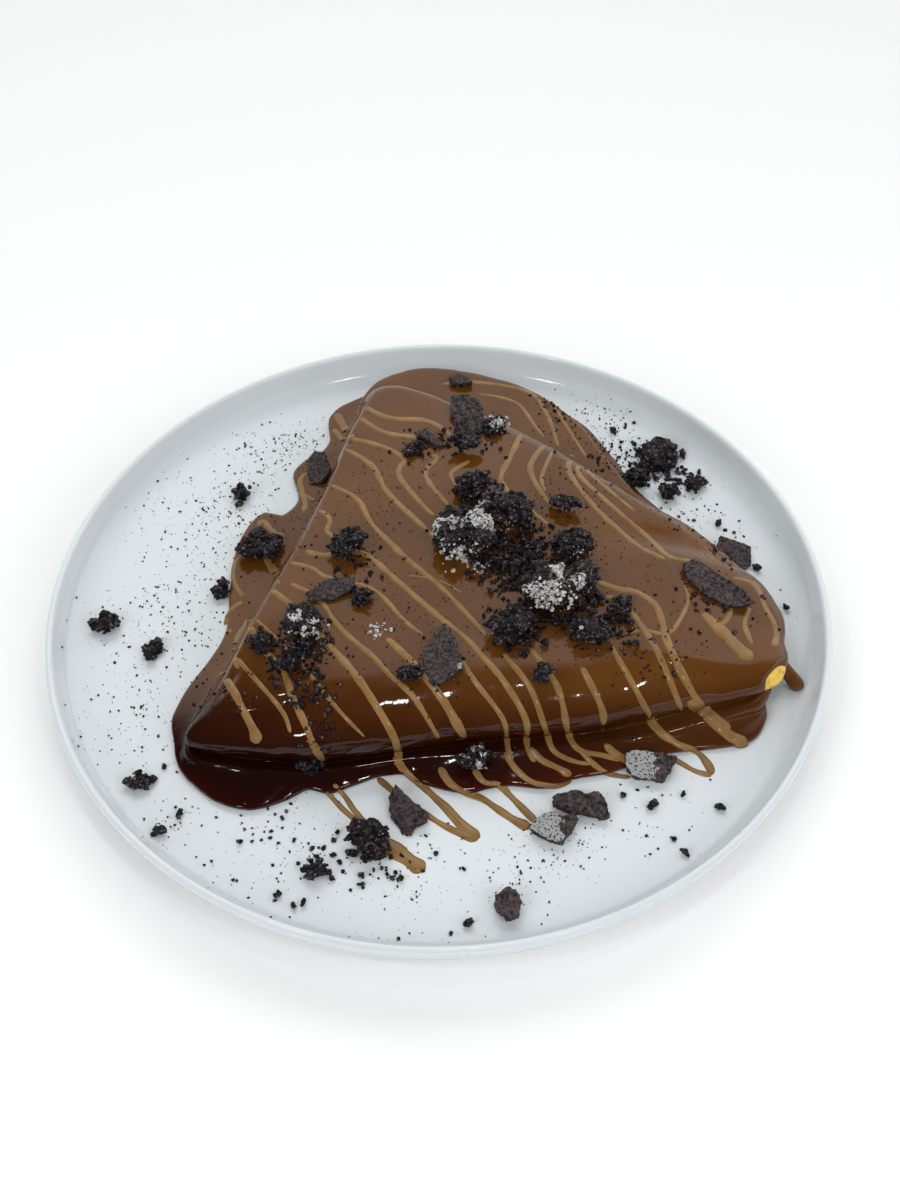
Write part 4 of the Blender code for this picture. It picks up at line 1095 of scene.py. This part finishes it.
HEAPS = [
    # x, y, spread, count, largest grain: on the crepe, seen on the plane of its top
    (26, 4, 17, 620, 3.6), (40, -12, 13, 420, 3.0), (26, -27, 10, 260, 2.6),
    (52, -26, 11, 240, 2.4), (10, 20, 11, 200, 2.4), (47, 10, 9, 140, 2.2), (14, 34, 8, 90, 1.8),
    (-46, -33, 12, 330, 2.8), (-41, -52, 7, 120, 2.2), (-50, -42, 8, 90, 2.0),
    (-30, 2, 12, 120, 1.8), (13, 70, 11, 160, 2.2), (-3, 62, 12, 110, 1.8),
    (0, -40, 10, 110, 2.0), (-18, -28, 24, 200, 1.0), (92, -14, 11, 120, 2.0),
    (45, 30, 16, 110, 1.1), (70, -35, 18, 120, 1.2), (-48, 30, 16, 80, 0.9),
    (-36, -66, 8, 90, 1.8), (100, 8, 8, 70, 2.0), (46, 82, 11, 130, 1.4), (20, -62, 34, 140, 0.9),
    (60, 40, 16, 80, 0.9), (-20, 40, 22, 170, 0.9), (-65, -50, 14, 80, 1.4),
    (20, 0, 60, 620, 0.7), (60, 8, 40, 180, 0.7),
]
chance = random.Random(21)
falls, bit_falls = [], []
for x, y, spread, count, largest in HEAPS:
    for _ in range(count):
        spot, normal = dropped(x, y, spread * 0.5, CREPE_LEVEL)
        if spot is not None and spot.z > 9:
            size = small_size(chance, 0.3, min(largest, 3.0), 3.0)
            (bit_falls if size > BIT_FROM else falls).append((spot, normal, size))
scattered("crumbs_on_crepe", falls, 31, biscuit)

BIT_HEAPS = [
    # x, y, spread, count, smallest and largest bit
    (26, 4, 14, 40, 2.3, 5.6), (40, -12, 10, 22, 2.3, 5.0), (26, -27, 8, 14, 2.3, 4.2),
    (52, -25, 10, 20, 2.3, 4.2), (10, 20, 8, 10, 2.3, 4.0), (30, 13, 9, 14, 2.5, 5.6),
    (14, 33, 5, 7, 2.3, 4.2), (61, -28, 6, 7, 2.3, 3.6), (-46, -33, 9, 12, 2.3, 4.2),
    (13, 69, 8, 8, 2.3, 3.6), (-2, 63, 6, 5, 2.3, 3.4), (46, 8, 7, 9, 2.3, 4.4),
]
for x, y, spread, count, smallest, largest in BIT_HEAPS:
    for _ in range(count):
        spot, normal = dropped(x, y, spread * 0.5, CREPE_LEVEL)
        size = smallest + (largest - smallest) * chance.random() ** 1.6
        bit_falls.append((spot + normal * chance.uniform(0.0, 0.25) * size, normal, size))
scattered("biscuit_bits_on_crepe", bit_falls, 34, biscuit)

PLATE_HEAPS = [
    # x, y, spread, count, largest grain: on the plate
    (84, 70, 9, 320, 2.6), (72, 80, 10, 200, 1.6), (98, 62, 6, 90, 2.0), (-95, 0, 24, 300, 1.1),
    (-80, 45, 28, 520, 1.1), (-60, 85, 16, 260, 1.0), (-100, -45, 22, 190, 1.1),
    (-60, -98, 26, 130, 1.3), (-10, -108, 22, 150, 1.4), (25, -100, 14, 110, 1.1),
    (65, -88, 16, 50, 1.2), (62, 95, 17, 220, 1.0), (108, 30, 10, 50, 1.5),
    (-38, -98, 8, 40, 2.0), (-15, -100, 8, 60, 2.2), (118, -5, 8, 24, 1.2),
    (-45, -88, 14, 50, 1.4), (95, 45, 10, 70, 1.3), (-84, -84, 7, 40, 1.6),
    (40, -92, 10, 60, 1.1),
]
falls = []
for x, y, spread, count, largest in PLATE_HEAPS:
    for _ in range(count):
        spot, normal = dropped(x, y, spread * 0.6, PLATE_LEVEL)
        if spot is not None and math.hypot(spot.x, spot.y) < 131:
            falls.append((spot, normal, small_size(chance, 0.3, largest, 3.2)))
PLATE_CRUMBS = [
    (-87, -88, 5.0), (-82, -82, 4.2), (8, -121, 4.6), (67, -81, 4.0), (88, -82, 3.4),
    (77, -77, 2.8), (75, -98, 3.4), (-76, 54, 3.4), (105, 40, 4.4), (96, 78, 4.2), (70, 92, 4.2),
    (115, 18, 4.6), (-27, -97, 4.6), (-89, -89, 2.2), (-62, -92, 2.6), (-32, -89, 2.4),
    (-41, -113, 3.2), (-44, -114, 2.8), (-49, -110, 3.0), (-24, -104, 2.2), (-24, -107, 2.4),
    (-12, -105, 3.2), (-33, -105, 2.6), (58, -77, 2.2), (72, -93, 2.4), (-89, -64, 2.2),
    (123, -1, 4.0),
]
for x, y, size in PLATE_CRUMBS:
    spot, normal = under_sight(x, y, PLATE_LEVEL)
    falls.append((spot + normal * 0.15 * size, normal, size))
scattered("crumbs_on_plate", falls, 32, biscuit)

dry_cream, tree = new_paint("dry_white_cream")
dress(tree, {
    "Base Color": shades(tree, cloudy(tree, 1200), [
        (0.36, (0.16, 0.15, 0.14)), (0.5, (0.54, 0.54, 0.52))]),
    "Roughness": 0.7, "Subsurface Weight": 0.2,
    "Subsurface Radius": (0.001, 0.0009, 0.0007), "Subsurface Scale": 1.0,
})
CREAM_HEAPS = [
    (8, 8, 7, 90, 1.8), (14, 2, 6, 50, 1.5), (40, -12, 8, 100, 1.8), (-43, -26, 6, 60, 1.6),
    (23, 73, 4, 26, 1.2), (-20, -26, 3.5, 36, 1.5), (24, 20, 4, 20, 1.0), (48, 8, 4, 14, 1.0),
]
cream_falls = []
lumps_points, lumps_faces = list(surface_points), list(surface_faces)
for number in range(1, 47):
    mesh = bpy.data.objects[f"biscuit_{number:02d}"].data
    start = len(lumps_points)
    lumps_points += [vertex.co / MM for vertex in mesh.vertices]
    lumps_faces += [[start + k for k in face.vertices] for face in mesh.polygons]
heaped = BVHTree.FromPolygons(lumps_points, lumps_faces)
for x, y, spread, count, largest in CREAM_HEAPS:
    for _ in range(count):
        aim_x, aim_y = chance.gauss(x, spread * 0.5), chance.gauss(y, spread * 0.5)
        way = Vector((aim_x, aim_y, CREPE_LEVEL)) - seat
        spot, normal, _, _ = heaped.ray_cast(seat, way.normalized())
        if spot is not None:
            cream_falls.append((spot, normal, small_size(chance, 0.4, largest, 1.8)))
scattered("cream_crumbs", cream_falls, 33, dry_cream)
